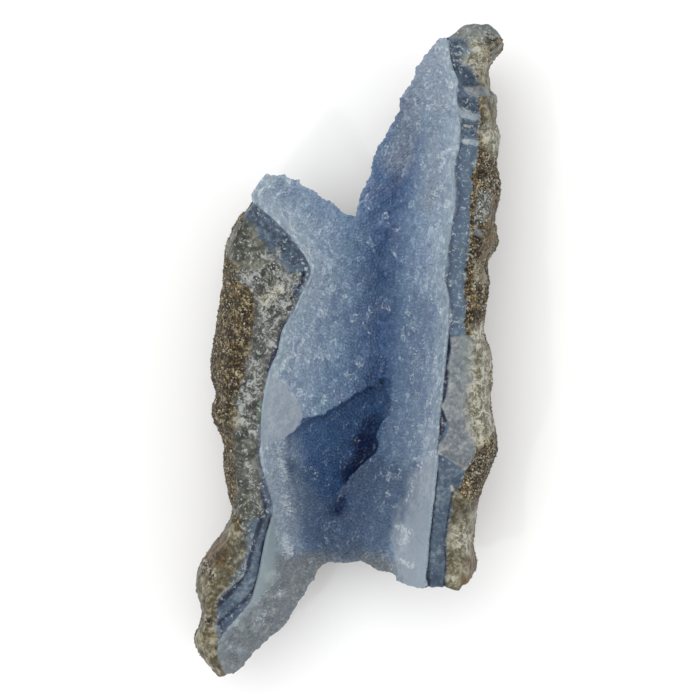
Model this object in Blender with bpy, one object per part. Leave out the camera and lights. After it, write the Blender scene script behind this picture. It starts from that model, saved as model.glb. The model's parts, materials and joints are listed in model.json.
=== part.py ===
"""Blue lace agate geode, a broken length of one, with a crust of quartz crystals in its hollow.

The specimen lies on its back with the hollow facing up. +Y runs along it and +Z is up. The origin is under the
middle of its bounding box. Sizes below are in millimetres, and every mesh is scaled to metres when it is made.
"""

import bmesh
import bpy
import numpy as np
from mathutils import Vector, noise
from mathutils.geometry import delaunay_2d_cdt

MM = 0.001

# Lines that run the length of the stone, each as (y, value) points for a smooth curve. The first six give x as
# seen from above: the widest line of each side, the shoulder where rind meets the broken rim face, and the
# inner edge of the rim.
LEFT_SIDE = (
    (-106, -37), (-97, -41), (-94, -43.8), (-90, -45.9), (-87, -46.7), (-83, -45.3), (-80, -44.5), (-73, -45.9),
    (-63, -44.1), (-56, -39.2), (-52, -36.3), (-48.5, -34.9), (-44, -36.2), (-33, -37.8), (-29, -37.4),
    (-25, -38.6), (-21, -40.6), (-18, -41.1), (-14, -40), (-7, -41.7), (3, -40.5), (15, -38.7), (24, -37.8),
    (32, -36.6), (38.5, -33.8), (45, -29.7), (50, -27), (53, -25.2), (106, -20),
)
LEFT_SHOULDER = (
    (-106, -36), (-97, -39), (-90, -42.3), (-75, -41.5), (-65, -38), (-55, -34), (-45, -32.5), (-25, -34),
    (-12, -33.5), (0, -30), (12, -28.5), (20, -32), (30, -34), (38, -32.2), (45, -29.2), (53, -25), (106, -19.6),
)
LEFT_RIM = (
    (-106, -34), (-97, -37.6), (-90, -39.2), (-84.5, -37.4), (-80.5, -34), (-76, -30.2), (-70.5, -27.6),
    (-61, -25.4), (-54, -24), (-48.5, -22.8), (-38, -25), (-27, -26.5), (-14, -25.5), (-7, -23.8), (0, -20.7),
    (7, -19), (13, -15.8), (19.5, -12.6), (24, -11), (27, -12.1), (30, -14.4), (34.5, -17.6), (39.3, -22.5),
    (42, -25.8), (45, -28.6), (50, -26.3), (53, -24.7), (106, -19),
)
RIGHT_RIM = (
    (-106, 22), (-71, 22.3), (-60, 22.7), (-50, 24), (-35, 25.4), (-20, 26.4), (-10, 27.3), (0, 28.1), (8, 29),
    (14, 29), (21, 27.9), (30, 28.9), (38, 29.9), (43, 31.1), (57, 31), (62, 32.2), (66, 32.7), (75, 31.7),
    (81, 31.3), (84, 30), (87, 29.2), (93, 28.7), (106, 28),
)
RIGHT_SHOULDER = (
    (-106, 31.5), (-72, 31.5), (-55, 31.5), (-45, 33), (-37, 35.5), (-28, 38), (-10, 37), (10, 35.7), (20, 35.6),
    (35, 37), (50, 37.5), (60, 39.5), (80, 39), (86, 39), (92, 42), (106, 38),
)
RIGHT_SIDE = (
    (-106, 36), (-71, 36.8), (-68, 37.6), (-63, 37.8), (-57, 37.1), (-50, 37.6), (-45, 38.4), (-37, 41.6),
    (-30, 43.8), (-25, 43.8), (-18, 42.2), (-6, 42.6), (-1, 42.3), (5, 39.9), (10, 40), (20, 41.6), (25.5, 41.1),
    (33, 44.3), (38, 43.5), (48, 44.8), (56, 43.9), (64, 44.8), (67, 43.8), (72, 43.9), (80, 41.7), (84, 41.2),
    (87.5, 43.2), (91.5, 46.8), (106, 44),
)
# Heights along the stone, in the same form.
LEFT_RIM_HEIGHT = ((-106, 32), (-90, 37), (-75, 41.5), (-55, 46), (-30, 49), (0, 50.5), (30, 50), (53, 47), (106, 42))
RIGHT_RIM_HEIGHT = ((-106, 42), (-71, 44.5), (-50, 47), (-20, 50), (20, 50.5), (50, 49), (80, 46), (106, 42))
BACK_HEIGHT = ((-106, 16), (-85, 5), (-65, -1.5), (-40, -3), (45, -3), (70, 0), (90, 9), (106, 18))
VALLEY = (
    (-106, -10), (-80, -5), (-64, -4), (-57, -5.5), (-50, -4.5), (-43, -1.5), (-34, 2), (-28, 4.5), (-20, 6.8),
    (-10, 9), (0, 9.8), (20, 9.8), (30, 10.2), (40, 11.5), (50, 14.5), (60, 17), (70, 17), (76, 15.5), (106, 8),
)
VALLEY_HEIGHT = (
    (-106, 26), (-80, 24), (-64, 22.5), (-52, 17), (-43, 14), (-34, 13), (-25, 14), (-10, 16.5), (10, 18),
    (30, 20), (60, 24), (76, 27), (106, 33),
)

# The broken ends seen from above, as (x, y) points from left to right.
TOP_BREAK = (
    (-25, 52.7), (-22.5, 52.2), (-19.5, 52.7), (-18.4, 51.4), (-15.4, 50.8), (-15, 49.3), (-10, 47.3), (-9, 45.8),
    (-6.4, 45), (-4.5, 43.7), (-2.4, 41.5), (2, 40.4), (2.4, 43.5), (3.2, 46.5), (4.7, 50),
    (6.4, 54), (6.8, 57), (9.6, 63), (11, 64.8), (13, 69), (15, 72.6), (15.2, 76), (18.4, 79.8), (20, 84.6),
    (22, 87.5), (26.4, 93), (29.7, 93.4), (34.5, 97.3), (37, 97.6), (42.3, 97), (45.4, 94), (46.8, 91.6),
)
BOTTOM_BREAK = (
    (-43.2, -94.6), (-41, -97.2), (-38, -97.6), (-33.4, -96.7), (-30, -91.6), (-25.8, -88), (-24, -86),
    (-21, -84), (-18.4, -79.8), (-15, -75.2), (-12, -70.2), (-10.6, -69), (-10, -67), (-8, -64.7), (-5.5, -63.8),
    (-2, -64.1), (4, -63.8), (6.2, -64.4), (8, -65.8), (14, -67.6), (14.4, -69), (18, -70.8), (22.5, -71),
    (27, -70.8), (32, -71.5), (36.9, -70.6),
)

# Inside the left wall a sheet of crystals ends in a ledge over a darker pocket. Points are (x, y) from the left.
LEDGE = ((-20, -29), (-15, -22.5), (-6, -18), (0, -15), (11, -10))
LEDGE_DROP = 4.5
LEDGE_FACE = 1.6
POCKET_LENGTH = 34

# Patches where the crystals are chipped off, as (x, y, half width, half length).
CHIPS = ((-21, -18, 5.5, 10), (-22, -38, 4, 9), (19, -46, 4.5, 11), (-27, -80, 7, 8))
CHIP_COVER = 0.2

SHOULDER_DROP = 2.6
LEFT_SIDE_HEIGHT = 24
RIGHT_SIDE_HEIGHT = 27
LUMP_SIZE = 16
LUMP_HEIGHT = 1.3
UNDER_LUMP_SPREAD = 0.09
PIT_SIZE = 11
PIT_DEPTH = 0.05
VALLEY_ROUNDING = 0.2
WALL_HOLLOWNESS = 0.25

STATION_STEP = 4.1
BLOCK_END = 102
RIM_POINTS = 3
UPPER_RIND_POINTS = 4
LOWER_RIND_POINTS = 9

CRUST_THICKNESS = 4.6
CRUST_EDGE_RISE = 0.8
GAP_BELOW_CRUST = 0.8
GAP_BESIDE_CRUST = 0.45
CUT_OVERRUN = 4.0
CUTTER_TOP = 75
CRYSTAL_SPACING = 4.5
CRYSTAL_HEIGHT = 1.9
BED_SPACING = 9.0

BREAK_LEAN = 0.22
BREAK_ROUGHNESS = 1.6
BREAK_ROWS = 6
BREAK_REACH = 130


def along(line, y):
    """The smooth curve through a line's (y, value) points, read at y."""
    places, values = np.array(line, float).T
    slopes = np.gradient(values, places)
    i = np.clip(np.searchsorted(places, y) - 1, 0, len(places) - 2)
    step = places[i + 1] - places[i]
    t = np.clip((y - places[i]) / step, 0, 1)
    ends = values[i] * (1 + 2 * t) * (1 - t) ** 2 + values[i + 1] * t**2 * (3 - 2 * t)
    bends = slopes[i] * t * (1 - t) ** 2 - slopes[i + 1] * t**2 * (1 - t)
    return ends + bends * step


def smooth_step(value):
    """0 below 0 and 1 above 1, with a smooth rise between."""
    t = np.clip(value, 0, 1)
    return t * t * (3 - 2 * t)


def lumps(x, y, z, size):
    """Smooth noise from -1 to 1 with features of this size."""
    return noise.noise(Vector((x, y, z)) / size)


lumps_at = np.vectorize(lumps)


def arc(start, end, count):
    """Points round a quarter ellipse that leaves start level and reaches end upright, without the start."""
    angle = np.linspace(0, np.pi / 2, count + 1)[1:]
    x = start[0] + (end[0] - start[0]) * np.sin(angle)
    z = end[1] + (start[1] - end[1]) * np.cos(angle)
    return list(zip(x, z))


def half_section(y, rim, rim_height, shoulder, side, side_height):
    """(x, z) points of one side of the stone at y: rim face, shoulder, rind, and under to the back."""
    rim_x, rim_z = along(rim, y), along(rim_height, y)
    shoulder_x = along(shoulder, y)
    side_x = along(side, y)
    face_x = np.linspace(rim_x, shoulder_x, RIM_POINTS + 1)
    face_z = rim_z - SHOULDER_DROP * np.linspace(0, 1, RIM_POINTS + 1) ** 2
    points = list(zip(face_x, face_z))
    points += arc(points[-1], (side_x, side_height), UPPER_RIND_POINTS)
    under = arc((0, along(BACK_HEIGHT, y)), (side_x, side_height), LOWER_RIND_POINTS)
    return points + under[-2::-1]


def section(y):
    """The closed outline of the whole block at y, from the left rim round the back to the right rim."""
    left = half_section(y, LEFT_RIM, LEFT_RIM_HEIGHT, LEFT_SHOULDER, LEFT_SIDE, LEFT_SIDE_HEIGHT)
    right = half_section(y, RIGHT_RIM, RIGHT_RIM_HEIGHT, RIGHT_SHOULDER, RIGHT_SIDE, RIGHT_SIDE_HEIGHT)
    ring = []
    for x, z in left + right[::-1]:
        grain = lumps(x, y, z, LUMP_SIZE) + 0.7 * lumps(x, y, z, LUMP_SIZE / 2)
        pit = max(0, 0.5 - noise.voronoi(Vector((x, y, z)) / PIT_SIZE)[0][0]) * 2
        under = float(smooth_step((LEFT_SIDE_HEIGHT - z) / 12))
        spread = under * (UNDER_LUMP_SPREAD * grain - PIT_DEPTH * pit)
        ring.append((x * (1 + spread), y, max(0, z + LUMP_HEIGHT * grain)))
    return ring


def hollow_height(x, y):
    """Height of the hollow's surface at a place seen from above: two walls that meet in a rounded valley."""
    valley, floor = along(VALLEY, y), along(VALLEY_HEIGHT, y)
    on_left = x < valley
    rim_x = np.where(on_left, along(LEFT_RIM, y), along(RIGHT_RIM, y))
    rim_z = np.where(on_left, along(LEFT_RIM_HEIGHT, y), along(RIGHT_RIM_HEIGHT, y))
    t = (x - valley) / (rim_x - valley)
    straight = np.hypot(t, VALLEY_ROUNDING) - VALLEY_ROUNDING
    straight = straight / (np.hypot(1, VALLEY_ROUNDING) - VALLEY_ROUNDING)
    rise = (1 - WALL_HOLLOWNESS) * straight + WALL_HOLLOWNESS * t**2
    return floor + (rim_z - floor) * rise - pocket_depth(x, y) + lumps_at(x, y, 0, 14) * 1.1


def pocket_depth(x, y):
    """How far the pocket below the ledge lies under the plain wall."""
    ledge_x, ledge_y = np.array(LEDGE, float).T
    below = np.interp(x, ledge_x, ledge_y) - y
    across = smooth_step((x - ledge_x[0]) / 5) * smooth_step((ledge_x[-1] + 4 - x) / 6)
    return LEDGE_DROP * across * smooth_step(below / LEDGE_FACE) * (1 - smooth_step(below / POCKET_LENGTH))


def crystal_cover(x, y):
    """How much of a crystal's height stands at a place: all of it, or little in a chipped patch."""
    cover = np.ones_like(x)
    for chip_x, chip_y, width, length in CHIPS:
        inside = 1 - np.hypot((x - chip_x) / width, (y - chip_y) / length)
        cover = np.minimum(cover, 1 - (1 - CHIP_COVER) * smooth_step(inside / 0.25))
    return cover


def hollow_normal(x, y):
    """Unit vectors that point out of the hollow's surface."""
    step = 0.5
    along_x = (hollow_height(x + step, y) - hollow_height(x - step, y)) / (2 * step)
    along_y = (hollow_height(x, y + step) - hollow_height(x, y - step)) / (2 * step)
    normal = np.column_stack([-along_x, -along_y, np.ones_like(along_x)])
    return normal / np.linalg.norm(normal, axis=1)[:, None]


def rim_line(line, start, end):
    """(x, y) points along a rim from one y to another."""
    y = np.linspace(start, end, round(abs(end - start) / 4) + 1)
    return np.column_stack([along(line, y), y])


def hollow_outline():
    """The hollow's outline seen from above, anticlockwise, and how far a cut runs past each of its points."""
    top, bottom = np.array(TOP_BREAK), np.array(BOTTOM_BREAK)
    top = top[top[:, 0] < along(RIGHT_RIM, top[:, 1])]
    bottom = bottom[(bottom[:, 0] > along(LEFT_RIM, bottom[:, 1])) & (bottom[:, 0] < 22)]
    runs = (
        (rim_line(RIGHT_RIM, -70.4, 92.4), (GAP_BESIDE_CRUST, 0)),
        (top[::-1], (0, CUT_OVERRUN)),
        (rim_line(LEFT_RIM, 50.5, 46.5), (-CUT_OVERRUN, CUT_OVERRUN / 2)),
        (rim_line(LEFT_RIM, 42.5, -95), (-GAP_BESIDE_CRUST, 0)),
        (bottom, (0, -CUT_OVERRUN)),
    )
    points = np.concatenate([run for run, _ in runs])
    overrun = np.concatenate([np.tile(past, (len(run), 1)) for run, past in runs])
    return points, overrun


def wall_length(x, y):
    """Distance over the hollow's surface from the valley line to x, in the section at y."""
    steps = np.linspace(along(VALLEY, y), x, 40)
    rises = np.diff(hollow_height(steps, np.full(40, y)))
    return np.sign(steps[-1] - steps[0]) * np.hypot(np.diff(steps), rises).sum()


def spread_points(outline, spacing, jitter):
    """(x, y) points about this far apart over the hollow's surface, inside the outline."""
    rng = np.random.default_rng(7)
    found = []
    rows = np.arange(outline[:, 1].min(), outline[:, 1].max(), spacing * 0.87)
    for row, y in enumerate(rows):
        x = np.linspace(along(LEFT_RIM, y), along(RIGHT_RIM, y), 240)
        height = hollow_height(x, np.full(240, y))
        length = np.concatenate([[0], np.cumsum(np.hypot(np.diff(x), np.diff(height)))])
        places = np.arange((0.5 + row % 2) * spacing / 2, length[-1], spacing)
        places = places + rng.uniform(-jitter, jitter, len(places)) * spacing
        shifts = rng.uniform(-jitter, jitter, len(places)) * spacing
        found += zip(np.interp(places, length, x), y + shifts)
    return [point for point in found if clear_inside(point, outline, spacing * 0.5)]


def clear_inside(point, outline, margin):
    """True for a point inside the outline and at least the margin from it."""
    starts, ends = outline, np.roll(outline, -1, axis=0)
    edges = ends - starts
    t = np.clip(((point - starts) * edges).sum(axis=1) / (edges**2).sum(axis=1), 0, 1)
    nearest = np.hypot(*(starts + edges * t[:, None] - point).T).min()
    crosses = (starts[:, 1] > point[1]) != (ends[:, 1] > point[1])
    reach = starts[:, 0] + (point[1] - starts[:, 1]) / np.where(crosses, edges[:, 1], 1) * edges[:, 0]
    return nearest > margin and (crosses & (reach > point[0])).sum() % 2 == 1


def triangulate(outline, inner):
    """Triangles over the outline and the points inside it, well shaped on the hollow's slopes."""
    points = [*map(tuple, outline), *inner]
    flat = [Vector((wall_length(x, y), y)) for x, y in points]
    _, _, faces, sources, _, _ = delaunay_2d_cdt(flat, [], [list(range(len(outline)))], 1, 1e-6)
    return np.array(points), [[sources[corner][0] for corner in face] for face in faces]


def mesh_object(name, points, faces, collection):
    """An object with a closed mesh of these millimetre points, its faces turned outwards."""
    shape = bmesh.new()
    corners = [shape.verts.new(Vector(point) * MM) for point in points]
    for face in faces:
        shape.faces.new([corners[i] for i in face])
    bmesh.ops.recalc_face_normals(shape, faces=shape.faces)
    mesh = bpy.data.meshes.new(name)
    shape.to_mesh(mesh)
    shape.free()
    made = bpy.data.objects.new(name, mesh)
    collection.objects.link(made)
    return made


def loft(rings):
    """Points and faces of a closed skin over rings with equal numbers of points, capped at both ends."""
    count = len(rings[0])
    faces = [list(range(count)), list(range((len(rings) - 1) * count, len(rings) * count))]
    for row in range(len(rings) - 1):
        for i in range(count):
            low, high = row * count + i, row * count + (i + 1) % count
            faces.append([low, high, high + count, low + count])
    return [point for ring in rings for point in ring], faces


def make_block(collection):
    """The whole stone before its ends broke and its hollow was cut: a loft of sections along Y."""
    stations = np.linspace(-BLOCK_END, BLOCK_END, round(2 * BLOCK_END / STATION_STEP) + 1)
    return mesh_object("stone", *loft([section(y) for y in stations]), collection)


def make_hollow_cutter(outline, overrun, bed, collection):
    """A closed shape that takes out the hollow and the space for its crust."""
    points, faces = bed
    count = len(outline)
    heights = hollow_height(points[:, 0], points[:, 1]) - CRUST_THICKNESS - GAP_BELOW_CRUST
    brink = outline + overrun
    lid = np.column_stack([[*brink, *points[count:]], np.full(len(points), CUTTER_TOP)])
    floor = [*np.column_stack([brink, heights[:count]]), *np.column_stack([points, heights])]
    floor_faces = [[corner + count for corner in face] for face in faces]
    for i in range(count):
        after = (i + 1) % count
        floor_faces.append([i, after, count + after, count + i])
    return mesh_object("hollow_cutter", *close_sheets(lid, faces, floor, floor_faces, count), collection)


def close_sheets(top, top_faces, bottom, bottom_faces, rim_count):
    """Joins two sheets along their outlines, which are their first points, into one closed shape."""
    shift = len(top)
    sides = []
    for i in range(rim_count):
        after = (i + 1) % rim_count
        sides.append([i, after, shift + after, shift + i])
    lower = [[corner + shift for corner in face] for face in bottom_faces]
    return [*top, *bottom], [*top_faces, *lower, *sides]


def make_break_cutter(name, outline, inward, collection):
    """A closed shape beyond a broken end. Its near side is the rough break, upright at the top and leaning in."""
    reach = [(-70, outline[0][1]), *outline, (70, outline[-1][1])]
    columns = []
    for x, y in reach:
        top = float(hollow_height(np.array([x]), np.array([y]))[0]) - CRUST_THICKNESS
        top = min(max(top, 12), 42)
        heights = [CUTTER_TOP, *np.linspace(top, -8, BREAK_ROWS + 1)]
        column = []
        for z in heights:
            depth = max(0, top - z)
            rough = BREAK_ROUGHNESS * min(1, depth / 6) * (1 + lumps(x, y, z, 7))
            column.append((x, y + inward * (depth * BREAK_LEAN + rough), z))
        far = [(x, -inward * BREAK_REACH, z) for z in reversed(heights)]
        columns.append(column + far)
    return mesh_object(name, *loft(columns), collection)


def make_crust(outline, bed, collection):
    """The crystals that line the hollow: a pyramid on each seed point, with grooves between, over a plain bed."""
    rng = np.random.default_rng(11)
    inner = spread_points(outline, CRYSTAL_SPACING, 0.22)
    points, triangles = triangulate(outline, inner)
    normals = hollow_normal(points[:, 0], points[:, 1])
    raised = np.column_stack([points, hollow_height(points[:, 0], points[:, 1])])
    raised[: len(outline), 2] += CRUST_EDGE_RISE
    heights = CRYSTAL_HEIGHT * rng.uniform(0.65, 1.35, len(points)) * crystal_cover(*points.T)
    raised[len(outline) :] += normals[len(outline) :] * heights[len(outline) :, None]
    centres = np.array([points[face].mean(axis=0) for face in triangles])
    grooves = np.column_stack([centres, hollow_height(centres[:, 0], centres[:, 1])])
    beside = {}
    for i, face in enumerate(triangles):
        for a, b in zip(face, face[1:] + face[:1]):
            beside.setdefault(frozenset((a, b)), []).append(len(points) + i)
    faces = []
    for edge, sides in beside.items():
        a, b = edge
        if len(sides) == 2:
            faces += [[a, *sides], [b, *sides]]
        else:
            faces.append([a, b, *sides])
    top = [*raised, *grooves]
    bed_points, bed_faces = bed
    bed_heights = hollow_height(bed_points[:, 0], bed_points[:, 1]) - CRUST_THICKNESS
    bottom = np.column_stack([bed_points, bed_heights])
    return mesh_object("druzy_crust", *close_sheets(top, faces, bottom, bed_faces, len(outline)), collection)


def finish(name, colour, roughness):
    """A plain material."""
    material = bpy.data.materials.new(name)
    material.use_nodes = True
    shader = material.node_tree.nodes["Principled BSDF"]
    shader.inputs["Base Color"].default_value = (*colour, 1)
    shader.inputs["Roughness"].default_value = roughness
    return material


def cut(target, cutter):
    modifier = target.modifiers.new(cutter.name, "BOOLEAN")
    modifier.operation = "DIFFERENCE"
    modifier.solver = "EXACT"
    modifier.object = cutter
    cutter.hide_render = True
    cutter.display_type = "WIRE"


def new_collection(name):
    made = bpy.data.collections.new(name)
    bpy.context.scene.collection.children.link(made)
    return made


def centre_on_origin(pieces, holder):
    """Moves the holder so that the middle of the pieces' box stands over the origin."""
    bpy.context.view_layer.update()
    graph = bpy.context.evaluated_depsgraph_get()
    corners = []
    for piece in pieces:
        shape = piece.evaluated_get(graph)
        corners += [shape.matrix_world @ Vector(corner) for corner in shape.bound_box]
    corners = np.array(corners)
    middle = (corners.min(axis=0) + corners.max(axis=0)) / 2
    holder.location = (-middle[0], -middle[1], 0)


def main():
    for old in list(bpy.data.objects):
        bpy.data.objects.remove(old)
    specimen = new_collection("blue_lace_agate_geode")
    cutters = new_collection("cutters")

    outline, overrun = hollow_outline()
    bed = triangulate(outline, spread_points(outline, BED_SPACING, 0.1))
    stone = make_block(specimen)
    crust = make_crust(outline, bed, specimen)
    tools = (
        make_hollow_cutter(outline, overrun, bed, cutters),
        make_break_cutter("top_break_cutter", TOP_BREAK, -1, cutters),
        make_break_cutter("bottom_break_cutter", BOTTOM_BREAK, 1, cutters),
    )
    for tool in tools:
        cut(stone, tool)

    stone.data.materials.append(finish("agate_and_rind", (0.21, 0.19, 0.15), 0.6))
    crust.data.materials.append(finish("quartz_druzy", (0.16, 0.24, 0.38), 0.35))

    holder = bpy.data.objects.new("specimen_centre", None)
    specimen.objects.link(holder)
    for piece in (stone, crust, *tools):
        piece.parent = holder
    centre_on_origin((stone, crust), holder)


main()
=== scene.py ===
"""Looks of the blue lace agate geode: fine stone and crystals in place of its two plain solids.

Shapes are worked out in millimetres, in the frame in which the specimen was measured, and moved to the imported
part's frame when a mesh is made. +Y runs along the specimen, +Z is up, and the hollow faces up.
"""

import json

import bmesh
import bpy
import numpy as np
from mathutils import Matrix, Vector, noise
from mathutils.bvhtree import BVHTree
from mathutils.geometry import delaunay_2d_cdt

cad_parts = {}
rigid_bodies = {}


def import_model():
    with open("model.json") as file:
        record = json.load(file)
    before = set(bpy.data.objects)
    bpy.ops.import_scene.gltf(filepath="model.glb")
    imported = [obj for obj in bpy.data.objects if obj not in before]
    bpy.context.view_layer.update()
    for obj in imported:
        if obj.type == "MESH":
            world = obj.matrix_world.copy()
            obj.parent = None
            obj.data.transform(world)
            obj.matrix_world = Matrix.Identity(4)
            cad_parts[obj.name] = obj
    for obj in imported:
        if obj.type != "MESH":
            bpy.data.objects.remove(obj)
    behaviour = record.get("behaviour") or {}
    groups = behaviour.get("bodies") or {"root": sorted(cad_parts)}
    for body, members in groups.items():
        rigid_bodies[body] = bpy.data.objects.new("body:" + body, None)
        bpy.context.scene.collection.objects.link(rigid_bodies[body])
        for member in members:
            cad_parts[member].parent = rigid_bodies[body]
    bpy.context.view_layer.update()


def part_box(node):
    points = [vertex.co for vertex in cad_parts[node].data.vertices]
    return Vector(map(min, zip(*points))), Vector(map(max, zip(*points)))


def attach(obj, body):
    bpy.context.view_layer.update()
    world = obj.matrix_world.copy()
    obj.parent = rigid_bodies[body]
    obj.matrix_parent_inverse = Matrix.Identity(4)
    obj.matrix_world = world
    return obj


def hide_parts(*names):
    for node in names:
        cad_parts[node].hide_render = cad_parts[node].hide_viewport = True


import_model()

MM = 0.001

# Lines that run the length of the stone, each as (y, value) points for a smooth curve. The first six give x as
# seen from above: the widest line of each side, the shoulder where rind meets the broken rim face, and the
# inner edge of the rim.
LEFT_SIDE = (
    (-106, -37), (-97, -41), (-94, -43.8), (-90, -45.9), (-87, -46.7), (-83, -45.3), (-80, -44.5), (-73, -45.9),
    (-63, -44.1), (-56, -39.2), (-52, -36.3), (-48.5, -34.9), (-44, -36.2), (-33, -37.8), (-29, -37.4),
    (-25, -38.6), (-21, -40.6), (-18, -41.1), (-14, -40), (-7, -41.7), (3, -40.5), (15, -38.7), (24, -37.8),
    (32, -36.6), (38.5, -33.8), (45, -29), (50, -26.3), (53, -24.6), (106, -19.4),
)
LEFT_SHOULDER = (
    (-106, -36), (-97, -39), (-90, -42.3), (-75, -41.5), (-65, -38), (-55, -34), (-45, -32.5), (-25, -34),
    (-12, -33.5), (0, -30), (12, -28.5), (20, -32), (30, -34), (38, -32.2), (45, -28.8), (53, -24.6), (106, -19.2),
)
LEFT_RIM = (
    (-106, -34), (-97, -37.6), (-90, -39.2), (-84.5, -37.4), (-80.5, -34), (-76, -30.2), (-70.5, -27.6),
    (-61, -25.4), (-54, -24), (-48.5, -22.8), (-38, -25), (-27, -26.5), (-14, -25.5), (-7, -23.8), (0, -20.7),
    (7, -19), (13, -15.8), (19.5, -12.6), (24, -11), (27, -12.1), (30, -14.4), (34.5, -17.6), (39.3, -22.5),
    (42, -25.8), (45, -28.6), (50, -26.3), (53, -24.7), (106, -19),
)
RIGHT_RIM = (
    (-106, 22), (-71, 22.3), (-60, 22.7), (-50, 24), (-35, 25.4), (-20, 26.4), (-10, 27.3), (0, 28.1), (8, 29),
    (14, 29), (21, 27.9), (30, 28.9), (38, 29.9), (43, 31.1), (57, 31), (62, 32.2), (66, 32.7), (75, 31.7),
    (81, 31.3), (84, 30), (87, 29.2), (93, 28.7), (106, 28),
)
RIGHT_SHOULDER = (
    (-106, 31.5), (-72, 31.5), (-55, 31.5), (-45, 33), (-37, 35.5), (-28, 38), (-10, 37), (10, 35.7), (20, 35.6),
    (35, 37), (50, 37.5), (60, 39.5), (80, 39), (86, 39), (92, 42), (106, 38),
)
RIGHT_SIDE = (
    (-106, 36), (-71, 36.8), (-68, 37.6), (-63, 37.8), (-57, 37.1), (-50, 37.6), (-45, 38.4), (-37, 41.6),
    (-30, 43.8), (-25, 43.8), (-18, 42.2), (-6, 42.6), (-1, 42.3), (5, 39.9), (10, 40), (20, 41.6), (25.5, 41.1),
    (33, 44.3), (38, 43.5), (48, 44.8), (56, 43.9), (64, 44.8), (67, 43.8), (72, 43.9), (80, 41.7), (84, 41.2),
    (87.5, 43.2), (91.5, 46.8), (106, 44),
)
# Heights along the stone, in the same form.
LEFT_RIM_HEIGHT = ((-106, 32), (-90, 37), (-75, 41.5), (-55, 46), (-30, 49), (0, 50.5), (30, 50), (53, 47), (106, 42))
RIGHT_RIM_HEIGHT = ((-106, 42), (-71, 44.5), (-50, 47), (-20, 50), (20, 50.5), (50, 49), (80, 46), (106, 42))
BACK_HEIGHT = ((-106, 16), (-85, 5), (-65, -1.5), (-40, -3), (45, -3), (70, 0), (90, 9), (106, 18))
VALLEY = (
    (-106, -10), (-80, -5), (-64, -4), (-57, -5.5), (-50, -4.5), (-43, -1.5), (-34, 2), (-28, 4.5), (-20, 6.8),
    (-10, 9), (0, 9.8), (20, 9.8), (30, 10.2), (40, 11.5), (50, 14.5), (60, 17), (70, 17), (76, 15.5), (106, 8),
)
VALLEY_HEIGHT = (
    (-106, 26), (-80, 24), (-64, 22.5), (-52, 17), (-43, 14), (-34, 13), (-25, 14), (-10, 16.5), (10, 18),
    (30, 20), (60, 24), (76, 27), (106, 33),
)

# The broken ends seen from above, as (x, y) points from left to right.
TOP_BREAK = (
    (-25, 52.7), (-22.5, 52.2), (-19.5, 52.7), (-18.4, 51.4), (-15.4, 50.8), (-15, 49.3), (-10, 47.3), (-9, 45.8),
    (-6.4, 45), (-4.5, 43.7), (-2.4, 41.5), (2, 40.4), (2.4, 43.5), (3.2, 46.5), (4.7, 50), (6.4, 54), (6.8, 57),
    (9.6, 63), (11, 64.8), (13, 69), (15, 72.6), (15.2, 76), (18.4, 79.8), (20, 84.6), (22, 87.5), (26.4, 93),
    (29.7, 93.4), (34.5, 97.3), (37, 97.6), (42.3, 97), (45.4, 94), (46.8, 91.6),
)
BOTTOM_BREAK = (
    (-43.2, -94.6), (-41, -97.2), (-38, -97.6), (-33.4, -96.7), (-30, -91.6), (-25.8, -88), (-24, -86),
    (-21, -84), (-18.4, -79.8), (-15, -75.2), (-12, -70.2), (-10.6, -69), (-10, -67), (-8, -64.7), (-5.5, -63.8),
    (-2, -64.1), (4, -63.8), (6.2, -64.4), (8, -65.8), (14, -67.6), (14.4, -69), (18, -70.8), (22.5, -71),
    (27, -70.8), (32, -71.5), (36.9, -70.6),
)

# A sheet of crystals on the left wall ends in a ledge over a darker pocket, as (x, y) points from the left. The
# right wall's crystals end in a fold over the valley, as (y, x) points.
LEDGE = (
    (-20.5, -29), (-19.4, -26), (-16.8, -24.4), (-15, -22.4), (-14.2, -20.2), (-8, -19.4), (-5.3, -17.6),
    (-1.4, -15.4), (2.1, -12.8), (7.9, -10.1), (9.6, -8.4),
)
LEDGE_DROP = 4.5
LEDGE_FACE = 0.9
POCKET_LENGTH = 34
FOLD = (
    (-48, -7), (-42.2, -2.7), (-38.3, 0.4), (-34.8, 3.5), (-29.9, 8.3), (-24.7, 8.3), (-18.9, 12.2), (-15.4, 12.5),
    (-13.2, 11.6), (-8.4, 10.3), (-4.4, 10.9), (4, 10.5),
)
FOLD_DROP = 2.4
FOLD_REACH = 7

# Smooth places where the crystals are chipped off, as the (x, y) corners of each.
CHIPS = (
    (
        (-24.3, -7.3), (-22, -8.3), (-19, -9.6), (-17.1, -12.3), (-14.8, -16.9), (-14, -20.3), (-16.7, -24.5),
        (-19.7, -26.5), (-23.2, -27.6), (-26.6, -29.9), (-27.5, -21.5), (-26, -13.1),
    ),
    (
        (26, -30), (20.4, -36.2), (17.2, -37.4), (17, -41), (16.2, -44), (14.2, -47), (12.3, -48.3), (13, -50.5),
        (12.2, -56), (13.6, -62), (14.6, -68), (21, -74), (23.4, -64), (23.8, -55), (24.6, -47),
    ),
    (
        (-26, -50), (-22.6, -50), (-22.2, -58), (-22.8, -66), (-25, -72), (-29, -76), (-35, -80.5), (-38, -81),
        (-30, -73), (-26.5, -64),
    ),
)

SHOULDER_DROP = 2.6
LEFT_SIDE_HEIGHT = 24
RIGHT_SIDE_HEIGHT = 27
LUMP_SIZE = 16
LUMP_HEIGHT = 1.3
UNDER_LUMP_SPREAD = 0.09
PIT_SIZE = 11
PIT_DEPTH = 0.05
VALLEY_ROUNDING = 0.2
WALL_HOLLOWNESS = 0.25
CRUST_THICKNESS = 4.6
BREAK_LEAN = 0.22
BREAK_ROUGHNESS = 1.6

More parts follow.
